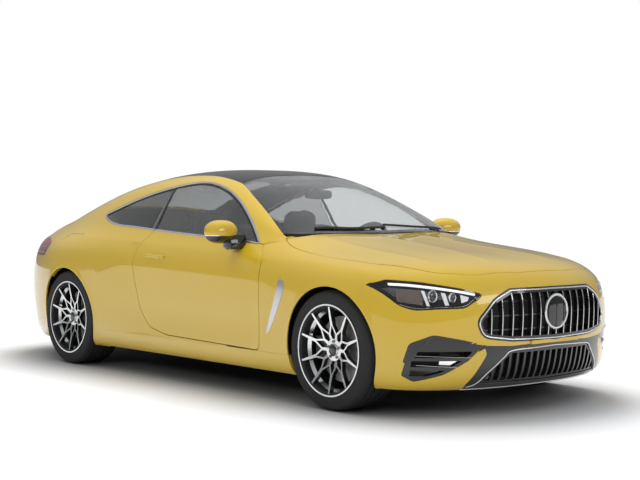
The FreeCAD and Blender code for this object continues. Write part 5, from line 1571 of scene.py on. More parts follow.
def grow(made: bpy.types.Object, tree: bpy.types.NodeTree, finish: Finish, sharp: float = 35.0,
         **values: object) -> bpy.types.Object:
    """Runs a tree on an object and keeps the result as its plain mesh.

    Args:
        made: The object that the tree starts from.
        tree: The node tree.
        finish: The finish of the result.
        sharp: The angle past which an edge looks sharp, in degrees.
        **values: The tree's inputs, by their names in lower case.

    Returns:
        The object with its new mesh.
    """
    modifier = made.modifiers.new("grow", "NODES")
    modifier.node_group = tree
    values["material"] = finish.material()
    for item in tree.interface.items_tree:
        if item.item_type == "SOCKET" and item.in_out == "INPUT" and item.name.lower() in values:
            modifier[item.identifier] = values[item.name.lower()]
    bpy.context.view_layer.update()
    graph = bpy.context.evaluated_depsgraph_get()
    mesh = bpy.data.meshes.new_from_object(made.evaluated_get(graph))
    mesh.name = made.name
    made.modifiers.clear()
    made.data = mesh
    soften(mesh, sharp)
    return made


def wire(name: str, lines: Sequence[np.ndarray], closed: bool = False) -> bpy.types.Object:
    """Makes runs of bare edges for a tree to follow.

    Args:
        name: The object's name.
        lines: The runs of points, in millimetres.
        closed: True where each run closes on itself.

    Returns:
        The new object, linked to the scene.
    """
    points: list[list[float]] = []
    edges: list[tuple[int, int]] = []
    for line in lines:
        first = len(points)
        points += (np.asarray(line) * MILLI).tolist()
        edges += [(k, k + 1) for k in range(first, len(points) - 1)]
        if closed:
            edges.append((len(points) - 1, first))
    mesh = bpy.data.meshes.new(name)
    mesh.from_pydata(points, edges, [])
    made = linked(name, mesh)
    return made


@dataclass(frozen=True)
class Ribbon:
    """A flat bar with rounded shoulders that follows a line on a surface."""

    width: float
    height: float
    sink: float = 2.0
    round: float = 0.3

    def along(self, points: np.ndarray, normals: np.ndarray, closed: bool = False) -> tuple[np.ndarray, Faces]:
        """The bar's points and faces.

        Args:
            points: The line, in millimetres.
            normals: The surface's outward normal at each point.
            closed: True where the line closes on itself.

        Returns:
            Points and faces.
        """
        w, h, r = self.width / 2, self.height, self.round
        section = [(-w, -self.sink), (-w, h * (1 - r)), (-w + h * r, h), (w - h * r, h), (w, h * (1 - r)),
                   (w, -self.sink)]
        if closed:
            ahead = np.roll(points, -1, axis=0) - np.roll(points, 1, axis=0)
        else:
            ahead = np.gradient(points, axis=0)
        across = np.cross(ahead, normals)
        across /= np.maximum(np.linalg.norm(across, axis=1, keepdims=True), TINY)
        rings = np.stack([points + across * a + normals * b for a, b in section], axis=1)
        n, m = rings.shape[:2]
        return rings.reshape(-1, 3), loft_faces(n, m, closed, not closed)


def revolved(profile: Sequence[tuple[float, float]], centre: Sequence[float], steps: int,
             closed: bool = True) -> tuple[np.ndarray, Faces]:
    """A shape turned about an axle that runs across the car.

    Args:
        profile: Pairs of a place along the axle and a radius.
        centre: The axle's place.
        steps: How many steps go round.
        closed: True where the profile's last point joins the first.

    Returns:
        Points and faces.
    """
    flat = np.array(profile, float)
    turns = np.linspace(0, 2 * math.pi, steps, endpoint=False)
    rings = np.stack([np.stack([flat[:, 0], flat[:, 1] * math.sin(t), flat[:, 1] * math.cos(t)], axis=1)
                      for t in turns]) + np.array(centre, float)
    return rings.reshape(-1, 3), loft_faces(steps, len(flat), True, whole=closed)


def bar(low: Sequence[float], high: Sequence[float], edge: float = 2.0) -> tuple[np.ndarray, Faces]:
    """A block with chamfered long edges.

    Args:
        low: Its lowest corner, in millimetres.
        high: Its highest corner.
        edge: The chamfer's width.

    Returns:
        Points and faces.
    """
    (x0, y0, z0), (x1, y1, z1) = low, high
    e = edge
    ring = [(y0 + e, z0), (y1 - e, z0), (y1, z0 + e), (y1, z1 - e), (y1 - e, z1), (y0 + e, z1), (y0, z1 - e),
            (y0, z0 + e)]
    points = np.array([(x, y, z) for x in (x0, x1) for y, z in ring], float)
    return points, loft_faces(2, len(ring), capped=True)


def merged(parts: Sequence[tuple[np.ndarray, Faces]]) -> tuple[np.ndarray, Faces]:
    """Several runs of points and faces as one.

    Args:
        parts: The runs.

    Returns:
        All their points and faces.
    """
    points: list[np.ndarray] = []
    faces: Faces = []
    count = 0
    for some, those in parts:
        points.append(some)
        faces += [tuple(i + count for i in face) for face in those]
        count += len(some)
    return np.vstack(points), faces


def pair(name: str, points: np.ndarray, faces: Faces, finish: Finish, sharp: float = 50.0,
         body: str = "body") -> None:
    """Makes a piece on the left and its mirror image on the right.

    Args:
        name: The piece's name, before its side.
        points: The left piece's points, in millimetres.
        faces: Its faces.
        finish: Its finish.
        sharp: The angle past which an edge looks sharp, in degrees.
        body: Their body, or what the names of their two bodies begin with.
    """
    for hand in Side:
        ride = body if body == "body" else f"{body}_{hand.word}"
        place(solid_piece(f"{name}_{hand.word}", points, faces, finish, sharp, hand is Side.RIGHT), ride)


def place_shells(name: str, shell: Shell, bodies: tuple[str, ...], finish: Finish, *nodes: str) -> None:
    """Makes a shell on the left and its mirror image on the right, or one across the centre plane.

    Args:
        name: The piece's name, before its side.
        shell: The shell on the left, or the whole.
        bodies: The bodies of the left and right pieces, or of the one.
        finish: The finish.
        *nodes: The CAD nodes that the pieces stand for, one each.
    """
    shells = [shell] if len(bodies) == 1 else [shell, shell.mirrored()]
    words = [""] if len(bodies) == 1 else ["_left", "_right"]
    for k, (some, word) in enumerate(zip(shells, words)):
        place(dress(some.build(name + word), finish), bodies[k], *nodes[k:k + 1])


@dataclass
class Bodywork:
    """The painted skins, cut from the lines plan."""

    plan: LinesPlan
    trim_step: float = 12.0

    def skins(self) -> None:
        """Makes every painted skin."""
        plan, lower, side, last = self.plan, self.plan.lower, self.plan.side, self.plan.lower.last
        door_u = tuple(side.place_along(y, 3.0) for y in (-1000, 520))
        frame_u = tuple(side.place_along(y, 3.0) for y in (-1000, 2300))
        gap, door, hood = SHUT_GAP, Grown(DOOR, SHUT_GAP), Grown(HOOD, SHUT_GAP)
        front_arch, rear_arch = WheelArch(FRONT_AXLE_Y), WheelArch(REAR_AXLE_Y)
        flank = (SHOULDER, FLANK, SKIRT)
        doors, both, screen = ("door_left", "door_right"), ("body", "body"), Grown(SCREEN, SEAM)
        place_shells("bonnet_skin", PanelCut(plan.hood, (0, plan.hood.last), (0, 2 * plan.hood.top), (HOOD,),
                                             reliefs=(HOOD_OUTER, HOOD_INNER)).rolled(), ("bonnet",), PAINT)
        place_shells("door_skin", PanelCut(side, door_u, (0.5, 8.2), (DOOR,), reliefs=flank).rolled(), doors,
                     PAINT)
        place_shells("fender_skin", PanelCut(
            lower, (3.5, 10.5), (0.2, 7.6), (FENDER,), (door, hood, screen, front_arch, Grown(BLADE, SEAM)),
            reliefs=(SHOULDER, FLANK, SKIRT, ArchLip(FRONT_AXLE_Y))).rolled(), both, PAINT)
        cuts = (BELOW_FRAME, Grown(FENDER, SEAM), hood, door, SIDE_GLASS, screen, Grown(ROOF, SEAM),
                Grown(REAR_GLASS, SEAM), Grown(LID_TOP, gap), rear_arch, REAR_SPLIT, Grown(TAIL_LAMP, SEAM),
                Grown(FUEL_FLAP, 2.0), Zone((850, -1000, 100), (1200, 820.6, 283.6)))
        reliefs = (SHOULDER, FLANK, SKIRT, ArchLip(REAR_AXLE_Y))
        frame = PanelCut(side, frame_u, (0.1, side.top - 0.6), (), cuts, reliefs=reliefs).rolled()
        place_shells("side_skin", frame, both, PAINT)
        flap = PanelCut(side, frame_u, (4.0, 8.0), (FUEL_FLAP,), (Zone((-1200, 1000, 0), (0, 2000, 1200)),),
                        reliefs=reliefs, cell=8.0).rolled()
        place_shells("fuel_flap", flap, ("body",), PAINT)
        place_shells("front_bumper_skin", PanelCut(lower, (-7, 7), (0.2, 6.9), (), (
            BEHIND_BUMPER, hood, front_arch, Grown(GRILLE, SEAM), Grown(LOWER_INTAKE, SEAM), Grown(LAMP, SEAM),
            Grown(LAMP.mirrored(), SEAM), Grown(SIDE_INTAKE, SEAM), Grown(SIDE_INTAKE.mirrored(), SEAM),
            BLACK_FRAME), reliefs=(ArchLip(FRONT_AXLE_Y),)).rolled(), ("body",), PAINT)
        place_shells("lower_front_frame", PanelCut(lower, (-7, 7), (0.2, 5.0), (Grown(BLACK_FRAME, -1.4),), (
            BEHIND_BUMPER, Grown(LOWER_INTAKE, SEAM), Grown(SIDE_INTAKE, SEAM),
            Grown(SIDE_INTAKE.mirrored(), SEAM)), cell=5.0).rolled(), ("body",), GLOSS_BLACK)
        place_shells("rear_bumper_skin", PanelCut(lower, (last - 6, last + 6), (0.2, 6.9),
                                                  (Grown(REAR_SPLIT, -SEAM),), (
            Zone((-542, 2000, 655), (542, 3000, 1000)), Grown(DIFFUSER, SEAM), rear_arch),
            reliefs=(ArchLip(REAR_AXLE_Y),)).rolled(), ("body",), PAINT)
        lid = PanelCut(plan.lid, (0, plan.lid.last), (0, 2 * plan.lid.top), (LID_TOP,),
                       (Zone((-900, 1900, 400), (900, 3000, 660)),)).rolled()
        place_shells("boot_lid_skin", lid, ("boot_lid",), PAINT)

    def window_trim(self) -> None:
        """The bright band round the side windows, the belt strip and the black seals."""
        side = self.plan.side
        u, v = (side.place_along(-1100, 6.0), side.place_along(1500, 6.0)), (4.5, side.top - 0.3)
        arch = smooth_line(((-800, 922), (-600, 1069), (-400, 1180), (-180, 1262), (60, 1301), (330, 1281),
                            (700, 1209), (1000, 1122), (1118, 1084)), 20.0)
        belt = smooth_line(((-798, 915), (-700, 925), (-300, 948), (50, 966), (330, 982)), 20.0)
        rear_belt = smooth_line(((342, 983), (600, 999), (800, 1008), (940, 1024), (1060, 1054), (1116, 1080)),
                                20.0)
        pieces = (("window_band", arch, 15.0, "body"), ("belt_strip", belt, 14.0, "door"),
                  ("rear_belt_strip", rear_belt, 14.0, "body"))
        for name, line, width, body in pieces:
            middle = shifted_line(line, width * 0.2, False)
            points, normals = side.find(even_line(middle, self.trim_step), (1, 2), u, v)
            shape, faces = Ribbon(width, 3.2, 4.0).along(points, normals)
            pair(name, shape, faces, BRIGHT, body=body)
        seal = shifted_line(arch, -9.0, False)
        points, normals = side.find(even_line(seal, self.trim_step), (1, 2), u, v)
        shape, faces = Ribbon(11.0, 1.2, 5.0).along(points, normals)
        pair("window_seal", shape, faces, TRIM_BLACK)
        post = np.array([(366.0, 1274.0), (356.0, 1150.0), (343.0, 990.0)])
        points, normals = side.find(even_line(post, self.trim_step), (1, 2), u, v)
        shape, faces = Ribbon(30.0, 0.6, 6.0).along(points, normals)
        pair("window_post", shape, faces, GLOSS_BLACK)

    def build(self) -> None:
        """Makes the bodywork."""
        self.skins()
        self.window_trim()


@dataclass
class FrontEnd:
    """The headlamps, the grille, the intakes and the splitter."""

    plan: LinesPlan
    u: tuple[float, float] = (-7.0, 7.0)
    lamp_depth: float = 42.0
    slats: int = 15
    slat_reach: float = 460.0
    disc_radius: float = 100.0
    disc_height: float = 565.0
    disc_inset: float = 14.5

    def on_nose(self, line: np.ndarray, high: float = 6.9) -> tuple[np.ndarray, np.ndarray]:
        """Lays a line drawn from the front on the nose."""
        return self.plan.lower.find(line, (0, 2), self.u, (0.2, high))

    def nose_y(self, x: float, z: float) -> float:
        """How far forward the nose reaches at a place seen from the front."""
        return float(self.on_nose(np.array([[x, z]]))[0][0, 1])

    def edging(self, name: str, line: np.ndarray, ribbon: Ribbon, finish: Finish, closed: bool = True) -> None:
        """A strip that follows a line on the nose.

        Args:
            name: The piece's name.
            line: The line, as seen from the front.
            ribbon: The strip's section.
            finish: Its finish.
            closed: True where the line closes on itself.
        """
        points, normals = self.on_nose(even_line(line, 9.0, closed))
        shape, faces = ribbon.along(points, normals, closed)
        place(solid_piece(name, shape, faces, finish, 50.0), "body")

    def headlamps(self) -> None:
        """A clear pane over a deep bowl with its projector, light bands and reflectors, on each side."""
        lower = self.plan.lower
        behind = Zone((0.0, -1838.0, 0.0), (1300.0, 0.0, 1300.0))
        window = {"net": lower, "u": (1.0, 6.0), "v": (3.0, 6.4), "keep": (LAMP,), "cut": (behind,),
                  "cell": 9.0}
        front = PanelCut(**window, lift=-1.0, radius=0.5).pane(3.0)
        floor = PanelCut(**window, lift=-self.lamp_depth, radius=3.0).outer()
        wall_cut = PanelCut(**window, lift=-5.0, radius=1.0)
        walls = with_hem(wall_cut.outer(), [(0.0, self.lamp_depth - 6.0, math.pi / 2)])
        rim = Shell(walls.points, -walls.normals, [tuple(reversed(f))
                                                   for f in walls.faces[len(wall_cut.outer().faces):]])
        bowl = tidy(Shell(np.vstack([floor.points, rim.points]), np.vstack([floor.normals, rim.normals]),
                          floor.faces + [tuple(i + len(floor.points) for i in f) for f in rim.faces]))
        place_both("headlamp_pane", front, CLEAR_LENS, "headlamp_lenses")
        place_both("headlamp_bowl", bowl, GLOSS_BLACK, "headlamps")
        brow = smooth_line(((846, 738), (800, 736), (745, 728), (670, 714), (598, 698), (530, 680)), 12.0)
        under = smooth_line(((545, 650), (600, 614), (712, 609), (800, 602), (848, 622)), 12.0)
        for name, line, ribbon, finish, sink in (
                ("daylight_band", brow, Ribbon(9.0, 8.0, 6.0), WHITE_GLOW, 22.0),
                ("daylight_band_lower", shifted_line(brow, -15.0, False), Ribbon(3.0, 6.0, 6.0), CHROME, 22.0),
                ("lamp_lower_edge", under, Ribbon(4.0, 7.0, 6.0), CHROME, 20.0)):
            points, normals = self.on_nose(even_line(line, 9.0), 6.4)
            shape, faces = ribbon.along(points - normals * sink, normals)
            pair(name, shape, faces, finish)
        for name, x, z, radius in (("projector", 712.0, 664.0, 33.0), ("projector_inner", 630.0, 656.0, 25.0)):
            self.projector(name, x, z, radius)
        for k, (corners, finish) in enumerate((
                (((760, 712), (838, 716), (856, 640), (770, 622)), SMOKED),
                (((560, 668), (600, 684), (604, 634), (572, 646)), CHROME),
                (((664, 694), (682, 698), (682, 622), (664, 622)), CHROME),
                (((744, 708), (756, 710), (758, 618), (746, 618)), CHROME))):
            points, normals = self.on_nose(np.array(corners, float), 6.4)
            near, far = points - normals * 30.0, points - normals * 40.0
            ring = ((0, 1, 2, 3), (7, 6, 5, 4), (0, 4, 5, 1), (1, 5, 6, 2), (2, 6, 7, 3), (3, 7, 4, 0))
            pair(f"lamp_facet_{k + 1}", np.vstack([near, far]), list(ring), finish)

    def projector(self, name: str, x: float, z: float, radius: float) -> None:
        """A round lamp with a bright ring and a glass dome that looks straight ahead.

        Args:
            name: The lamp's name.
            x: Its centre's place across the car.
            z: Its centre's height.
            radius: Its radius.
        """
        y = self.nose_y(x, z) + 26.0
        turns = np.linspace(0, 2 * math.pi, 36, endpoint=False)
        rings = []
        for reach, depth in ((1.0, 10.0), (1.0, 0.0), (0.92, -2.0), (0.82, 0.0), (0.78, 8.0)):
            rings.append([(x + radius * reach * math.sin(t), y + depth, z + radius * reach * math.cos(t))
                          for t in turns])
        points = np.array(rings).reshape(-1, 3)
        pair(f"{name}_ring", points, loft_faces(len(rings), len(turns), capped=True), CHROME)
        rings = [[(x + radius * 0.76 * math.cos(a) * math.sin(t), y + 7.0 - 12.0 * math.sin(a),
                   z + radius * 0.76 * math.cos(a) * math.cos(t)) for t in turns]
                 for a in np.linspace(0, 1.5, 8)]
        points = np.array(rings).reshape(-1, 3)
        pair(f"{name}_dome", points, loft_faces(len(rings), len(turns), capped=True), SCREEN_GLASS)

    def grille(self) -> None:
        """The rim, the bright slat edges and the plain blank disc."""
        self.edging("grille_rim", shifted_line(even_line(GRILLE.line(), 9.0, True), 3.0), Ribbon(8.0, 5.0, 6.0),
                    BRIGHT)
        inner = shifted_line(even_line(GRILLE.line(), 9.0, True), 11.0)
        self.edging("grille_inner_rim", inner, Ribbon(9.0, 2.0, 8.0), GLOSS_BLACK)
        parts = []
        for k in range(self.slats):
            x = self.slat_reach * (2 * k / (self.slats - 1) - 1)
            inside = [z for z in np.arange(410.0, 700.0, 6.0)
                      if GRILLE.depth(np.array([[x, 0.0, z]]))[0] > 10.0
                      and math.hypot(x, z - self.disc_height) > self.disc_radius]
            runs = np.split(np.array(inside), np.where(np.diff(inside) > 7.0)[0] + 1)
            for run in (r for r in runs if len(r) > 2):
                points, normals = self.on_nose(np.stack([np.full(len(run), x), run], axis=1))
                parts.append(Ribbon(5.0, 3.5, 2.0, 0.5).along(points - normals * 1.5, normals))
        shape, faces = merged(parts)
        place(solid_piece("grille_slat_edges", shape, faces, BRIGHT, 40.0), "body")
        y = self.nose_y(0.0, self.disc_height) + self.disc_inset
        for name, profile, finish in (
                ("grille_disc_ring", ((0.0, 100.0), (-10.0, 100.0), (-14.0, 96.0), (-14.0, 88.0), (-8.0, 84.0),
                                      (0.0, 84.0)), BRIGHT),
                ("grille_disc", ((4.0, 85.0), (-8.0, 85.0), (-11.0, 60.0), (-12.5, 30.0), (-13.0, 0.5),
                                 (4.0, 0.5)),
                 SCREEN_GLASS)):
            points, faces = revolved(profile, (0.0, 0.0, 0.0), 72)
            turned = facing_ahead(points, (0.0, y, self.disc_height))
            place(solid_piece(name, turned, faces, finish, 40.0), "body")

    def intakes(self) -> None:
        """The bright line of the lower intake, the splitter and the side fins."""
        line = smooth_line(((548, 176), (512, 192), (470, 246), (420, 292), (372, 336), (325, 368), (150, 377),
                            (0, 382)),
                           12.0)
        whole = np.vstack([line, (line * np.array([-1.0, 1.0]))[::-1][1:]])
        self.edging("intake_line", shifted_line(whole, 3.0, False), Ribbon(7.0, 4.0, 5.0), BRIGHT, closed=False)
        lip = smooth_line(((-560, 148), (-300, 143), (0, 142), (300, 143), (560, 148)), 20.0)
        self.edging("splitter_line", lip, Ribbon(6.0, 4.0, 5.0), BRIGHT, closed=False)
        for k, (height, low, high, finish) in enumerate(((343.0, 560.0, 806.0, BRIGHT),
                                                         (292.0, 622.0, 800.0, BRIGHT))):
            points, normals = self.on_nose(even_line(np.array([[low, height - 6.0], [high, height + 6.0]]),
                                                     12.0))
            shape, faces = Ribbon(7.0, 10.0, 22.0, 0.4).along(points - normals * 12.0, normals)
            pair(f"side_fin_{k + 1}", shape, faces, finish)
        points, faces = revolved(((-2.0, 9.0), (6.0, 11.0), (6.0, 0.5), (-2.0, 0.5)), (0.0, 0.0, 0.0), 24)
        turned = np.stack([points[:, 1], -points[:, 0], points[:, 2]], axis=1)
        spot, _ = self.on_nose(np.array([[770.0, 420.0]]))
        pair("parking_sensor", turned + spot[0], faces, GLOSS_BLACK, 40.0)

    def build(self) -> None:
        """Makes the front end."""
        self.headlamps()
        self.grille()
        self.intakes()


def place_both(name: str, shell: Shell, finish: Finish, node: str) -> None:
    """Makes one piece of a shell and its mirror image, in the place of a CAD node on the body.

    Args:
        name: The piece's name.
        shell: The shell on the left.
        finish: The finish.
        node: The CAD node.
    """
    place(dress(shell.joined(shell.mirrored()).build(name), finish), "body", node)


@dataclass
class Wheels:
    """Tyres with their tread, rim caps and bolts."""

    tread_blocks: int = 64
    bolts: int = 5
    rim_radius: float = 260.0
    hub_face: float = 85.0

    def carcass(self, name: str, centre: tuple[float, float, float], body: str) -> None:
        """The tyre's carcass with its grooves, and blocks round its shoulders.

        Args:
            name: The wheel's name.
            centre: Its centre, in millimetres.
            body: Its body.
        """
        half, base = TYRE_WIDTH / 2, self.rim_radius - 21.7
        rise = TYRE_RADIUS - base
        low = [(-half + 14, base), (-half + 6, base + 0.08 * rise), (-half + 3, base + 0.22 * rise),
               (-half + 5, base + 0.24 * rise), (-half + 1, base + 0.42 * rise), (-half, base + 0.52 * rise),
               (-half + 2, base + 0.70 * rise), (-half + 6, base + 0.84 * rise),
               (-half + 15, TYRE_RADIUS - 8.0)]
        grooves = []
        for x in (-74.0, -26.0, 26.0, 74.0):
            grooves += [(x - 6.0, TYRE_RADIUS - 0.6), (x - 5.0, TYRE_RADIUS - 7.5),
                        (x + 5.0, TYRE_RADIUS - 7.5), (x + 6.0, TYRE_RADIUS - 0.6)]
        flat = [(-half + 38, TYRE_RADIUS - 2.6)] + grooves + [(half - 38, TYRE_RADIUS - 2.6)]
        profile = low + flat + [(-x, r) for x, r in reversed(low)]
        points, faces = revolved(profile, centre, 120)
        place(solid_piece(f"tyre_body_{name}", points, faces, TYRE, 30.0), body, f"tyre_{name}")
        blocks = []
        for sign in (-1.0, 1.0):
            ring = [(sign * (half - 36.0), TYRE_RADIUS - 7.0), (sign * (half - 36.0), TYRE_RADIUS - 2.2),
                    (sign * (half - 15.0), TYRE_RADIUS - 7.6), (sign * (half - 4.0), TYRE_RADIUS - 19.0),
                    (sign * (half - 9.0), TYRE_RADIUS - 22.0)]
            wide = 0.62 * math.pi * TYRE_RADIUS / self.tread_blocks
            pts = np.array([(x, y * r / TYRE_RADIUS, r) for y in (-wide, wide) for x, r in ring], float)
            blocks.append((pts, loft_faces(2, len(ring), capped=True)))
        shape, those = merged(blocks)
        block = solid_piece(f"tread_blocks_{name}", shape, those, TYRE, 30.0)
        grow(block, GeometryTrees.ring(), TYRE, 30.0, count=self.tread_blocks,
             centre=tuple(c * MILLI for c in centre))
        place(block, body)

    def hub(self, name: str, centre: tuple[float, float, float], body: str, hand: Side) -> None:
        """The plain cap and the bolts of a rim.

        Args:
            name: The wheel's name.
            centre: Its centre, in millimetres.
            body: Its body.
            hand: The side of the car.
        """
        s, face = hand.value, centre[0] + hand.value * self.hub_face
        cap = [(face, 30.0), (face + s * 6, 30.0), (face + s * 9, 27.0), (face + s * 10.5, 14.0),
               (face + s * 11, 0.5), (face, 0.5)]
        points, faces = revolved(cap, (0.0, centre[1], centre[2]), 48)
        place(solid_piece(f"hub_cap_{name}", points, faces, GLOSS_BLACK, 40.0), body)
        ring = [(face, 31.0), (face + s * 5, 31.0), (face + s * 8, 33.0), (face + s * 5, 36.0), (face, 36.0)]
        points, faces = revolved(ring, (0.0, centre[1], centre[2]), 48)
        place(solid_piece(f"hub_ring_{name}", points, faces, BRIGHT, 40.0), body)
        head = [(face - 2 * s, 9.0), (face + s * 5, 9.0), (face + s * 7, 7.0), (face + s * 3, 5.0),
                (face + s * 3, 0.5), (face - 2 * s, 0.5)]
        points, faces = revolved(head, (0.0, 0.0, 48.0), 6)
        bolt = solid_piece(f"wheel_bolts_{name}", points, faces, BRAKE, 30.0)
        grow(bolt, GeometryTrees.ring(), BRAKE, 30.0, count=self.bolts,
             centre=(0.0, centre[1] * MILLI, centre[2] * MILLI))
        place(bolt, body)

    def build(self, nodes: Sequence[str]) -> None:
        """Makes the four wheels' pieces.

        Args:
            nodes: The names of the CAD nodes, of which those of the tyres name the wheels.
        """
        for node in nodes:
            if not node.startswith("tyre_"):
                continue
            name = node[5:]
            hand = Side.LEFT if name.endswith("left") else Side.RIGHT
            y = FRONT_AXLE_Y if "front" in name else REAR_AXLE_Y
            centre = (hand.value * WHEEL_X, y, TYRE_RADIUS)
            self.carcass(name, centre, f"wheel_{name}")
            self.hub(name, centre, f"wheel_{name}", hand)


def prism_points(outline: np.ndarray, low: float, high: float, edge: float = 6.0) -> tuple[np.ndarray, Faces]:
    """A flat outline in the side view given a width across the car, with its two rims rounded.

    Args:
        outline: Closed pairs of y and z.
        low: The lower side's x.
        high: The upper side's x.
        edge: The rounding at each side.

    Returns:
        Points and faces.
    """
    centre = outline.mean(axis=0)
    rings = []
    for x, share in ((low, 1.0), (low + edge * 0.3, 0.3), (low + edge, 0.0), (high - edge, 0.0),
                     (high - edge * 0.3, 0.3), (high, 1.0)):
        way = centre - outline
        way /= np.maximum(np.linalg.norm(way, axis=1, keepdims=True), TINY)
        flat = outline + way * edge * share
        rings.append(np.column_stack([np.full(len(flat), x), flat]))
    return np.vstack(rings), loft_faces(len(rings), len(outline), capped=True)


@dataclass(frozen=True)
class Cushion:
    """A padded block with crowned faces, rounded corners and sewn channels."""

    centre: tuple[float, float, float]
    size: tuple[float, float, float]
    lean: float = 0.0
    power: float = 5.0
    channels: int = 0
    bolster: float = 0.0
    waist: float = 0.0
    rows: int = 30
    columns: int = 48
    bolster_from: float = 0.55
    bolster_share: float = 0.45
    channel_reach: float = 0.62
    channel_depth: float = 5.0
    channel_sharpness: int = 14

    def shape(self) -> tuple[np.ndarray, Faces]:
        """The block's points and faces, from a rounded box whose top carries the channels.

        Returns:
            Points and faces.
        """
        points = []
        a, b, c = (s / 2 for s in self.size)
        for i in range(self.rows + 1):
            up = math.pi * i / self.rows - math.pi / 2
            for k in range(self.columns):
                turn = 2 * math.pi * k / self.columns
                cu, su, ct, st = math.cos(up), math.sin(up), math.cos(turn), math.sin(turn)
                e = 2 / self.power
                x = a * math.copysign(abs(cu) ** e, cu) * math.copysign(abs(ct) ** e, ct)
                y = b * math.copysign(abs(cu) ** e, cu) * math.copysign(abs(st) ** e, st)
                z = c * math.copysign(abs(su) ** e, su)
                points.append(self._shaped(x, y, z))
        lean = math.radians(self.lean)
        turned = np.array([(x, y * math.cos(lean) - z * math.sin(lean), y * math.sin(lean) + z * math.cos(lean))
                           for x, y, z in points]) + np.array(self.centre)
        return turned, loft_faces(self.rows + 1, self.columns)

    def _shaped(self, x: float, y: float, z: float) -> tuple[float, float, float]:
        """Moves one point for the waist, the bolsters and the channels.

        Args:
            x: The point's place across the block.
            y: Its place along it.
            z: Its height.

        Returns:
            The moved point.
        """
        a, b, c = (s / 2 for s in self.size)
        side = abs(x) / a
        x *= 1.0 - self.waist * max(0.0, y / b)
        top = max(0.0, z / c)
        z += top * self.bolster * max(0.0, side - self.bolster_from) / self.bolster_share
        if self.channels and side < self.channel_reach:
            wave = abs(math.cos(self.channels * math.pi * (y / b + 1) / 2))
            z -= top * self.channel_depth * wave ** self.channel_sharpness
        return x, y, z


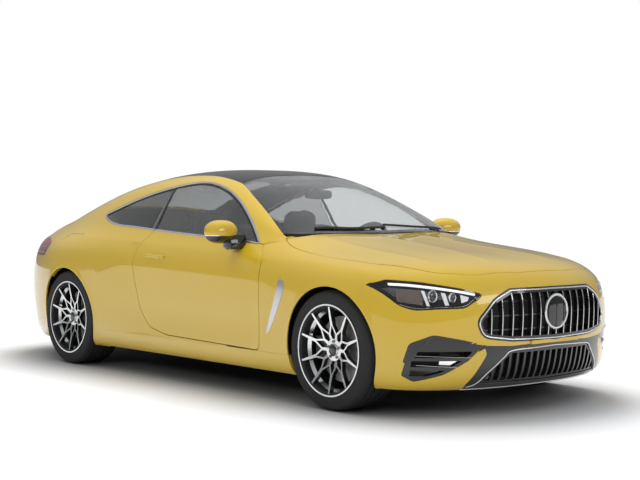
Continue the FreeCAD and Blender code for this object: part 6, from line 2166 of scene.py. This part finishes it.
@dataclass
class Cabin:
    """The padded seats and bench, the wheel, the dashboard's parts and the inner mirror."""

    seat_x: float = 405.0
    wheel_centre: tuple[float, float, float] = (370.0, -470.0, 860.0)
    wheel_lean: float = 25.0
    wheel_radius: float = 176.0
    wheel_flat: float = 0.09
    wheel_steps: int = 72
    grip_radius: float = 14.0
    grip_steps: int = 14

    def padded(self, name: str, parts: Sequence[tuple[np.ndarray, Faces]], body: str, *nodes: str) -> None:
        """Makes a padded piece with its leather.

        Args:
            name: The piece's name.
            parts: Its blocks.
            body: Its body.
            *nodes: The CAD node that it stands for.
        """
        points, faces = merged(parts)
        made = solid_piece(name, points, faces, LEATHER, 60.0)
        place(made, body, *nodes)

    def seats(self) -> None:
        """Two front seats and the rear bench, with their channels and bolsters."""
        parts = []
        for sign in (-1.0, 1.0):
            x = sign * self.seat_x
            parts.append(Cushion((x, -110.0, 372.0), (470.0, 530.0, 140.0), 8.0, 4.5, 6, 38.0).shape())
            parts.append(Cushion((x, 214.0, 640.0), (462.0, 560.0, 120.0), 104.0, 4.5, 6, -34.0, 0.10).shape())
            parts.append(Cushion((x, 292.0, 985.0), (272.0, 250.0, 84.0), 101.0, 4.0).shape())
            parts.append(prism_points(np.array([(150.0, 300.0), (240.0, 300.0), (300.0, 700.0), (318.0, 900.0),
                                                (280.0, 905.0), (215.0, 620.0)]), x - 150.0, x + 150.0, 14.0))
        self.padded("front_seats_padded", parts, "body", "front_seats")
        bench = []
        for sign in (-1.0, 1.0):
            bench.append(Cushion((sign * 270.0, 700.0, 452.0), (480.0, 450.0, 96.0), 4.0, 5.0, 5, 16.0).shape())
            bench.append(Cushion((sign * 270.0, 848.0, 655.0), (480.0, 470.0, 96.0), 106.0, 5.0, 5,
                                 -14.0).shape())
        bench.append(Cushion((0.0, 800.0, 620.0), (90.0, 250.0, 80.0), 104.0, 4.0).shape())
        self.padded("rear_bench_padded", bench, "body", "rear_bench")

    def stitching(self) -> None:
        """Rows of stitches beside the channels of the front seats."""
        lines = []
        for sign in (-1.0, 1.0):
            for offset in (-148.0, 148.0):
                x = sign * self.seat_x + offset
                ys = np.linspace(-330.0, 100.0, 24)
                lines.append(np.array([(x, y, 444.0 + (y + 110.0) * 0.14) for y in ys]))
        made = wire("seat_stitches", lines)
        grow(made, GeometryTrees.dashes(), THREAD, 40.0, radius=0.8 * MILLI, spacing=9.0 * MILLI,
             length=5.5 * MILLI)
        place(made, "body")

    def wheel(self) -> None:
        """The steering wheel's rim, spokes and plain pad."""
        points = []
        for t in np.linspace(0, 2 * math.pi, self.wheel_steps, endpoint=False):
            flat = 1.0 - self.wheel_flat * max(0.0, -math.cos(t)) ** 6
            for r in np.linspace(0, 2 * math.pi, self.grip_steps, endpoint=False):
                reach = (self.wheel_radius + self.grip_radius * math.cos(r)) * flat
                points.append((reach * math.sin(t), self.grip_radius * math.sin(r), reach * math.cos(t)))
        rim = (np.array(points), loft_faces(self.wheel_steps, self.grip_steps, True))
        pad = Cushion((0.0, -6.0, 0.0), (150.0, 52.0, 120.0), 0.0, 3.2).shape()
        spokes = [bar((-168.0, -8.0, -16.0), (-60.0, 4.0, 16.0), 3.0),
                  bar((60.0, -8.0, -16.0), (168.0, 4.0, 16.0), 3.0),
                  bar((-18.0, -8.0, -168.0), (18.0, 4.0, -50.0), 3.0)]
        lean = math.radians(self.wheel_lean)
        turn = np.array([[1, 0, 0], [0, math.cos(lean), -math.sin(lean)], [0, math.sin(lean), math.cos(lean)]])
        for name, parts, finish in (("steering_rim", [rim, pad], LEATHER), ("steering_spokes", spokes, SILVER)):
            shape, those = merged(parts)
            turned = shape @ turn.T + np.array(self.wheel_centre)
            place(solid_piece(name, turned, those, finish, 40.0), "steering_wheel")

    def fittings(self) -> None:
        """The inner mirror, the displays and the vents."""
        mirror = Cushion((0.0, -395.0, 1222.0), (232.0, 30.0, 62.0), 0.0, 4.0).shape()
        stalk = bar((-14.0, -430.0, 1228.0), (14.0, -398.0, 1262.0), 4.0)
        shape, faces = merged([mirror, stalk])
        place(solid_piece("inner_mirror", shape, faces, TRIM_BLACK, 40.0), "body")
        screens = [bar((210.0, -622.0, 872.0), (520.0, -600.0, 968.0), 4.0), bar((-120.0, -628.0, 640.0),
                                                                               (120.0, -606.0, 860.0), 4.0)]
        shape, faces = merged(screens)
        place(solid_piece("displays", shape, faces, SCREEN_GLASS, 40.0), "body")
        ring, faces = revolved(((0.0, 46.0), (-14.0, 46.0), (-14.0, 36.0), (0.0, 36.0)), (0.0, 0.0, 0.0), 32)
        vents = [(facing_ahead(ring, (x, -618.0, 806.0)), faces) for x in (-660.0, -170.0, 170.0, 660.0)]
        shape, faces = merged(vents)
        place(solid_piece("vent_rings", shape, faces, BRIGHT, 40.0), "body")

    def build(self) -> None:
        """Makes the cabin's pieces."""
        self.seats()
        self.stitching()
        self.wheel()
        self.fittings()


@dataclass
class Mirrors:
    """The door mirrors: a painted cap over a black lower half, with a flat glass at the back."""

    centre: tuple[float, float, float] = (985.0, -630.0, 990.0)
    radii: tuple[float, float, float] = (115.5, 78.5, 72.5)
    turn: float = -12.0
    crown: float = 2.3
    corner: float = 0.86
    split: float = 966.0
    back: float = -596.0

    def egg(self, low: float, high: float, grow_by: float = 0.0) -> tuple[np.ndarray, Faces]:
        """A band of the mirror's egg between two heights, closed at both.

        Args:
            low: The band's lowest height.
            high: Its highest.
            grow_by: How much larger it is than the egg.

        Returns:
            Points and faces.
        """
        a, b, c = (r + grow_by for r in self.radii)
        rows, columns = 20, 56
        turn = math.radians(self.turn)
        heights = np.linspace(max(low, self.centre[2] - c + 0.4), min(high, self.centre[2] + c - 0.4), rows)
        points = []
        for z in heights:
            share = (1 - abs((z - self.centre[2]) / c) ** self.crown) ** (1 / self.crown)
            for k in range(columns):
                t = 2 * math.pi * k / columns
                x = a * share * math.copysign(abs(math.cos(t)) ** self.corner, math.cos(t))
                y = b * share * math.copysign(abs(math.sin(t)) ** self.corner, math.sin(t))
                px = self.centre[0] + x * math.cos(turn) - y * math.sin(turn)
                py = self.centre[1] + x * math.sin(turn) + y * math.cos(turn)
                points.append((px, min(py, self.back), z))
        return np.array(points), loft_faces(rows, columns, capped=True)

    def build(self) -> None:
        """Makes both mirrors."""
        _, _, z = self.centre
        foot = prism_points(np.array([(-690.0, 884.0), (-640.0, 878.0), (-606.0, 896.0), (-612.0, 950.0),
                                      (-630.0, 972.0), (-676.0, 972.0), (-696.0, 930.0)]), 826.0, 958.0, 14.0)
        pane = Cushion((self.centre[0] + 4.0, self.back + 0.6, z), (186.0, 4.0, 112.0), 0.0, 3.4).shape()
        for hand in Side:
            right, body = hand is Side.RIGHT, f"door_{hand.word}"
            for name, (points, faces), finish, node in (
                    ("mirror_cap", self.egg(self.split + 5.0, 2000.0), PAINT, f"mirror_{hand.word}"),
                    ("mirror_line", self.egg(self.split, self.split + 5.0, 0.6), BRIGHT, ""),
                    ("mirror_lower", self.egg(0.0, self.split), GLOSS_BLACK, ""),
                    ("mirror_foot", foot, GLOSS_BLACK, ""), ("mirror_glass", pane, MIRROR_GLASS, "")):
                made = solid_piece(f"{name}_{hand.word}", points, faces, finish, 40.0, right)
                place(made, body, *([node] if node else []))


@dataclass
class DoorHandles:
    """A raised bar inside a groove on each door."""

    plan: LinesPlan
    centre: tuple[float, float] = (185.0, 810.0)
    half: tuple[float, float] = (118.0, 46.0)

    def build(self) -> None:
        """Makes the groove, the bar and a black strip under the bar, a painted shadow where the handle's recess
        would lie in shade.
        """
        side = self.plan.side
        u, v = (side.place_along(-200, 4.0), side.place_along(600, 4.0)), (3.0, 8.0)
        t = np.linspace(0, 2 * math.pi, 60, endpoint=False)
        ring = np.stack([self.centre[0] + self.half[0] * np.cos(t), self.centre[1] + self.half[1] * np.sin(t)],
                        axis=1)
        points, normals = side.find(ring, (1, 2), u, v)
        groove, groove_faces = Ribbon(3.0, 1.6, 3.0, 0.5).along(points, normals, True)
        bar_line = np.stack([np.linspace(self.centre[0] - 108, self.centre[0] + 108, 30),
                             np.linspace(self.centre[1] - 2, self.centre[1] + 6, 30)], axis=1)
        points, normals = side.find(bar_line, (1, 2), u, v)
        rail, rail_faces = Ribbon(25.0, 13.0, 3.0, 0.35).along(points, normals)
        # A black strip just under the bar: a painted shadow standing in for the shade in the handle's recess.
        under, under_faces = Ribbon(10.0, 4.0, 3.0, 0.4).along(points - np.array([0.0, 0.0, 17.0]), normals)
        for hand in Side:
            right, body = hand is Side.RIGHT, f"door_{hand.word}"
            for name, shape, faces, finish in (("handle_recess", groove, groove_faces, PAINT),
                                               ("handle_bar", rail, rail_faces, PAINT),
                                               ("handle_shadow", under, under_faces, TRIM_BLACK)):
                place(solid_piece(f"{name}_{hand.word}", shape, faces, finish, 50.0, right), body)


PLATE = Outline(Seen.FROM_FRONT, ((-265, 512, 12), (265, 512, 12), (265, 634, 12), (-265, 634, 12)))
AHEAD = ((-1200.0, -3000.0, 0.0), (1200.0, 1500.0, 1500.0))


@dataclass
class RearEnd:
    """The tail lamps' bands, the bare plate panel, the exhaust tips, the diffuser's fins and the wipers."""

    plan: LinesPlan
    pipe_x: float = 430.0
    pipe_z: float = 262.0
    pipe_radius: float = 38.0
    pipe_apart: float = 48.0
    pipe_end: float = 2352.0

    def bands(self) -> None:
        """Light bands along the tail lamps."""
        side = self.plan.side
        u, v = (side.place_along(1500, 5.0), float(side.last)), (4.0, 8.8)
        for k, height in enumerate((882.0, 842.0, 802.0)):
            line = np.stack([np.linspace(1708.0 + 8 * k, 1990.0, 24), np.full(24, height)], axis=1)
            points, normals = side.find(line, (1, 2), u, v)
            shape, faces = Ribbon(9.0, 1.4, 4.0, 0.4).along(points, normals)
            pair(f"tail_band_{k + 1}", shape, faces, TAIL_BRIGHT)

    def pipes(self) -> None:
        """Round bright tips, double walled, over the ends of the exhaust pipes."""
        r, end = self.pipe_radius + 4.0, self.pipe_end + 6.0
        profile = ((end - 70, r), (end - 4, r + 4), (end, r + 2), (end - 2, r - 2), (end - 66, r - 5),
                   (end - 70, r - 4))
        points, faces = revolved(profile, (0.0, 0.0, 0.0), 48)
        shape, those = merged([(facing_ahead(points, (self.pipe_x + off, 0.0, self.pipe_z)), faces)
                               for off in (-self.pipe_apart, self.pipe_apart)])
        pair("exhaust_tips", shape, those, BRIGHT, 40.0)

    def fins(self) -> None:
        """Upright fins of the diffuser, in an even row."""
        shape, faces = bar((-303.0, 2268.0, 172.0), (-297.0, 2350.0, 300.0), 2.0)
        made = solid_piece("diffuser_fins", shape, faces, TRIM_BLACK, 30.0)
        grow(made, GeometryTrees.row(), TRIM_BLACK, 30.0, count=5, offset=(0.15, 0.0, 0.0))
        place(made, "body")

    def plate(self) -> None:
        """A plain dark panel where a plate would hang, left bare."""
        last = self.plan.lower.last
        panel = PanelCut(self.plan.lower, (last - 6, last + 6), (0.2, 6.9), (PLATE,), (Zone(*AHEAD),), lift=2.4)
        place_shells("plate_panel", panel.rolled(), ("body",), GLOSS_BLACK)

    def wipers(self) -> None:
        """Two slim wiper arms at the foot of the windscreen."""
        house = self.plan.house
        for k, line in enumerate((((560.0, -985.0), (300.0, -1000.0), (40.0, -985.0)),
                                  ((30.0, -1010.0), (-250.0, -1012.0), (-520.0, -968.0)))):
            flat = smooth_line(line, 20.0)
            signs = np.sign(flat[:, 0])
            folded = np.stack([np.abs(flat[:, 0]), flat[:, 1]], axis=1)
            points, normals = house.find(folded, (0, 1), (0.0, 8.0), (0.5, 7.0))
            turn = np.stack([np.where(signs == 0, 1, signs), np.ones(len(signs)), np.ones(len(signs))], axis=1)
            shape, faces = Ribbon(16.0, 12.0, -2.0, 0.4).along(points * turn, normals * turn)
            place(solid_piece(f"wiper_{k + 1}", shape, faces, TRIM_BLACK, 50.0), "body")

    def build(self) -> None:
        """Makes the rear end's pieces and the wipers."""
        self.bands()
        self.pipes()
        self.fins()
        self.plate()
        self.wipers()


@dataclass(frozen=True)
class Lamp:
    """A soft rectangular lamp, in metres and watts."""

    name: str
    place: tuple[float, float, float]
    aim: tuple[float, float, float]
    size: tuple[float, float]
    power: float
    mirrored: bool = True


LAMPS = (Lamp("top_lamp", (1.2, 1.2, 6.0), (0.0, 0.0, 0.4), (3.6, 6.0), 500.0, False),
         Lamp("side_lamp", (-7.5, -3.0, 3.2), (0.0, -0.3, 0.6), (7.0, 1.2), 150.0, False),
         Lamp("front_lamp", (1.5, -8.5, 3.2), (0.0, -1.5, 0.6), (5.0, 2.0), 130.0))


@dataclass
class Studio:
    """The floor, the backdrop, the lamps and the camera."""

    camera_place: tuple[float, float, float] = (-5.6507, -6.9747, 1.1466)
    yaw: float = 40.735
    pitch: float = -1.507
    roll: float = 0.036
    focal_pixels: float = 1288.0
    frame_pixels: float = 640.0
    sensor: float = 36.0
    clip: float = 200.0
    dome: float = 0.62
    dome_low: tuple[float, float, float, float] = (0.30, 0.30, 0.30, 1)
    dome_high: tuple[float, float, float, float] = (0.80, 0.82, 0.85, 1)
    dome_rise: float = 0.55
    white: tuple[float, float, float, float] = (1, 1, 1, 1)
    floor_white: tuple[float, float, float, float] = (0.97, 0.97, 0.97, 1)
    floor_roughness: float = 0.7
    # the grey of the painted shadow that darkens the floor's colour near the car
    contact_shade: tuple[float, float, float, float] = (0.10, 0.10, 0.10, 1)
    floor_reach: float = 60.0
    fade_from: float = 2.9
    fade_to: float = 4.6
    # how far the floor's painted shadow reaches from the car, in metres
    contact: float = 0.9

    def camera(self) -> None:
        """Places the camera where the photograph was taken from."""
        data = bpy.data.cameras.new("camera")
        data.sensor_width = self.sensor
        data.lens = self.focal_pixels / self.frame_pixels * self.sensor
        data.clip_end = self.clip
        made = linked("camera", data)
        yaw, pitch = math.radians(self.yaw), math.radians(self.pitch)
        ahead = Vector((math.sin(yaw) * math.cos(pitch), math.cos(yaw) * math.cos(pitch), math.sin(pitch)))
        turn = ahead.to_track_quat("-Z", "Y").to_matrix() @ Matrix.Rotation(math.radians(self.roll), 3, "Z")
        made.matrix_world = Matrix.Translation(self.camera_place) @ turn.to_4x4()
        bpy.context.scene.camera = made

    def light(self, lamp: Lamp) -> None:
        """Adds one lamp.

        Args:
            lamp: What it is and where it hangs. Gloss and glass don't show one that isn't mirrored.
        """
        data = bpy.data.lights.new(lamp.name, "AREA")
        data.shape = "RECTANGLE"
        data.size, data.size_y = lamp.size
        data.energy = lamp.power
        made = linked(lamp.name, data)
        made.visible_glossy = lamp.mirrored
        made.visible_transmission = lamp.mirrored
        way = Vector(lamp.aim) - Vector(lamp.place)
        made.matrix_world = Matrix.Translation(lamp.place) @ way.to_track_quat("-Z", "Y").to_matrix().to_4x4()

    def world(self) -> None:
        """A soft grey dome that the camera and glass see as white."""
        world = bpy.data.worlds.new("studio")
        bpy.context.scene.world = world
        world.use_nodes = True
        tree = world.node_tree
        tree.nodes.clear()
        path, place_at = tree.nodes.new("ShaderNodeLightPath"), tree.nodes.new("ShaderNodeTexCoord")
        split, ramp = tree.nodes.new("ShaderNodeSeparateXYZ"), tree.nodes.new("ShaderNodeValToRGB")
        ramp.color_ramp.elements[0].position = 0.0
        ramp.color_ramp.elements[0].color = self.dome_low
        ramp.color_ramp.elements[1].position = self.dome_rise
        ramp.color_ramp.elements[1].color = self.dome_high
        dome, white = tree.nodes.new("ShaderNodeBackground"), tree.nodes.new("ShaderNodeBackground")
        dome.inputs["Strength"].default_value = self.dome
        white.inputs["Color"].default_value = self.white
        most, mix = tree.nodes.new("ShaderNodeMath"), tree.nodes.new("ShaderNodeMixShader")
        most.operation = "MAXIMUM"
        out = tree.nodes.new("ShaderNodeOutputWorld")
        connect(tree, (place_at, "Generated", split, 0), (split, "Z", ramp, "Fac"),
                      (ramp, "Color", dome, "Color"), (path, "Is Camera Ray", most, 0),
                      (path, "Is Transmission Ray", most, 1), (most, 0, mix, "Fac"), (dome, 0, mix, 1),
                      (white, 0, mix, 2), (mix, 0, out, "Surface"))

    def floor(self) -> None:
        """A pale floor that keeps the car's cast shadow, darkened near the car by a painted shadow, and turns
        to the white of the backdrop further out.
        """
        mesh = bpy.data.meshes.new("floor")
        s = self.floor_reach
        mesh.from_pydata([(-s, -s, 0), (s, -s, 0), (s, s, 0), (-s, s, 0)], [], [(0, 1, 2, 3)])
        made = linked("studio_floor", mesh)
        material = bpy.data.materials.new("studio_floor")
        material.use_nodes = True
        tree = material.node_tree
        shader, out = tree.nodes["Principled BSDF"], tree.nodes["Material Output"]
        shader.inputs["Roughness"].default_value = self.floor_roughness
        # Ambient occlusion darkens the floor's base colour towards the painted shadow's grey near the car: a
        # painted shadow under and around it.
        near, shade = tree.nodes.new("ShaderNodeAmbientOcclusion"), tree.nodes.new("ShaderNodeMix")
        shade.data_type = "RGBA"
        near.inputs["Distance"].default_value = self.contact
        near.inputs["Color"].default_value = self.white
        shade.inputs["A"].default_value = self.contact_shade
        shade.inputs["B"].default_value = self.floor_white
        connect(tree, (near, "AO", shade, "Factor"), (shade, "Result", shader, "Base Color"))
        place_at, size = tree.nodes.new("ShaderNodeTexCoord"), tree.nodes.new("ShaderNodeVectorMath")
        size.operation = "LENGTH"
        fade, glow = tree.nodes.new("ShaderNodeMapRange"), tree.nodes.new("ShaderNodeEmission")
        fade.interpolation_type = "SMOOTHSTEP"
        fade.inputs["From Min"].default_value = self.fade_from
        fade.inputs["From Max"].default_value = self.fade_to
        path, seen, mix = (tree.nodes.new("ShaderNodeLightPath"), tree.nodes.new("ShaderNodeMath"),
                           tree.nodes.new("ShaderNodeMixShader"))
        clear, share = tree.nodes.new("ShaderNodeMath"), tree.nodes.new("ShaderNodeMath")
        clear.operation, seen.operation, share.operation = "MAXIMUM", "MAXIMUM", "MULTIPLY"
        connect(tree, (place_at, "Object", size, 0), (size, "Value", fade, "Value"),
                      (path, "Is Camera Ray", seen, 0), (path, "Is Transmission Ray", seen, 1),
                      (seen, 0, clear, 0), (path, "Is Glossy Ray", clear, 1), (clear, 0, share, 0),
                      (fade, "Result", share, 1), (share, 0, mix, "Fac"), (shader, 0, mix, 1),
                      (glow, 0, mix, 2), (mix, 0, out, "Surface"))
        mesh.materials.append(material)
        made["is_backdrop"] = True

    def build(self) -> None:
        """Makes the whole studio."""
        self.camera()
        self.world()
        self.floor()
        for lamp in LAMPS:
            self.light(lamp)


def write_size(moment: str, sizes: dict[str, list[float]]) -> None:
    """Notes the shown object's size at one moment of the script."""
    low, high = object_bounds()
    sizes[moment] = [list(low), list(high)]


def main() -> None:
    """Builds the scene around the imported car."""
    logging.basicConfig(level=logging.INFO, format="%(message)s")
    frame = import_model()
    sizes: dict[str, list[float]] = {}
    write_size("cad", sizes)
    bpy.context.scene.view_settings.view_transform = "Standard"
    for name, made in frame["nodes"].items():
        dress(made, node_finish(name))
    plan = LinesPlan()
    Bodywork(plan).build()
    FrontEnd(plan).build()
    Wheels().build(list(frame["nodes"]))
    Mirrors().build()
    DoorHandles(plan).build()
    Cabin().build()
    RearEnd(plan).build()
    Studio().build()
    write_size("dressed", sizes)


if __name__ == "__main__":
    main()
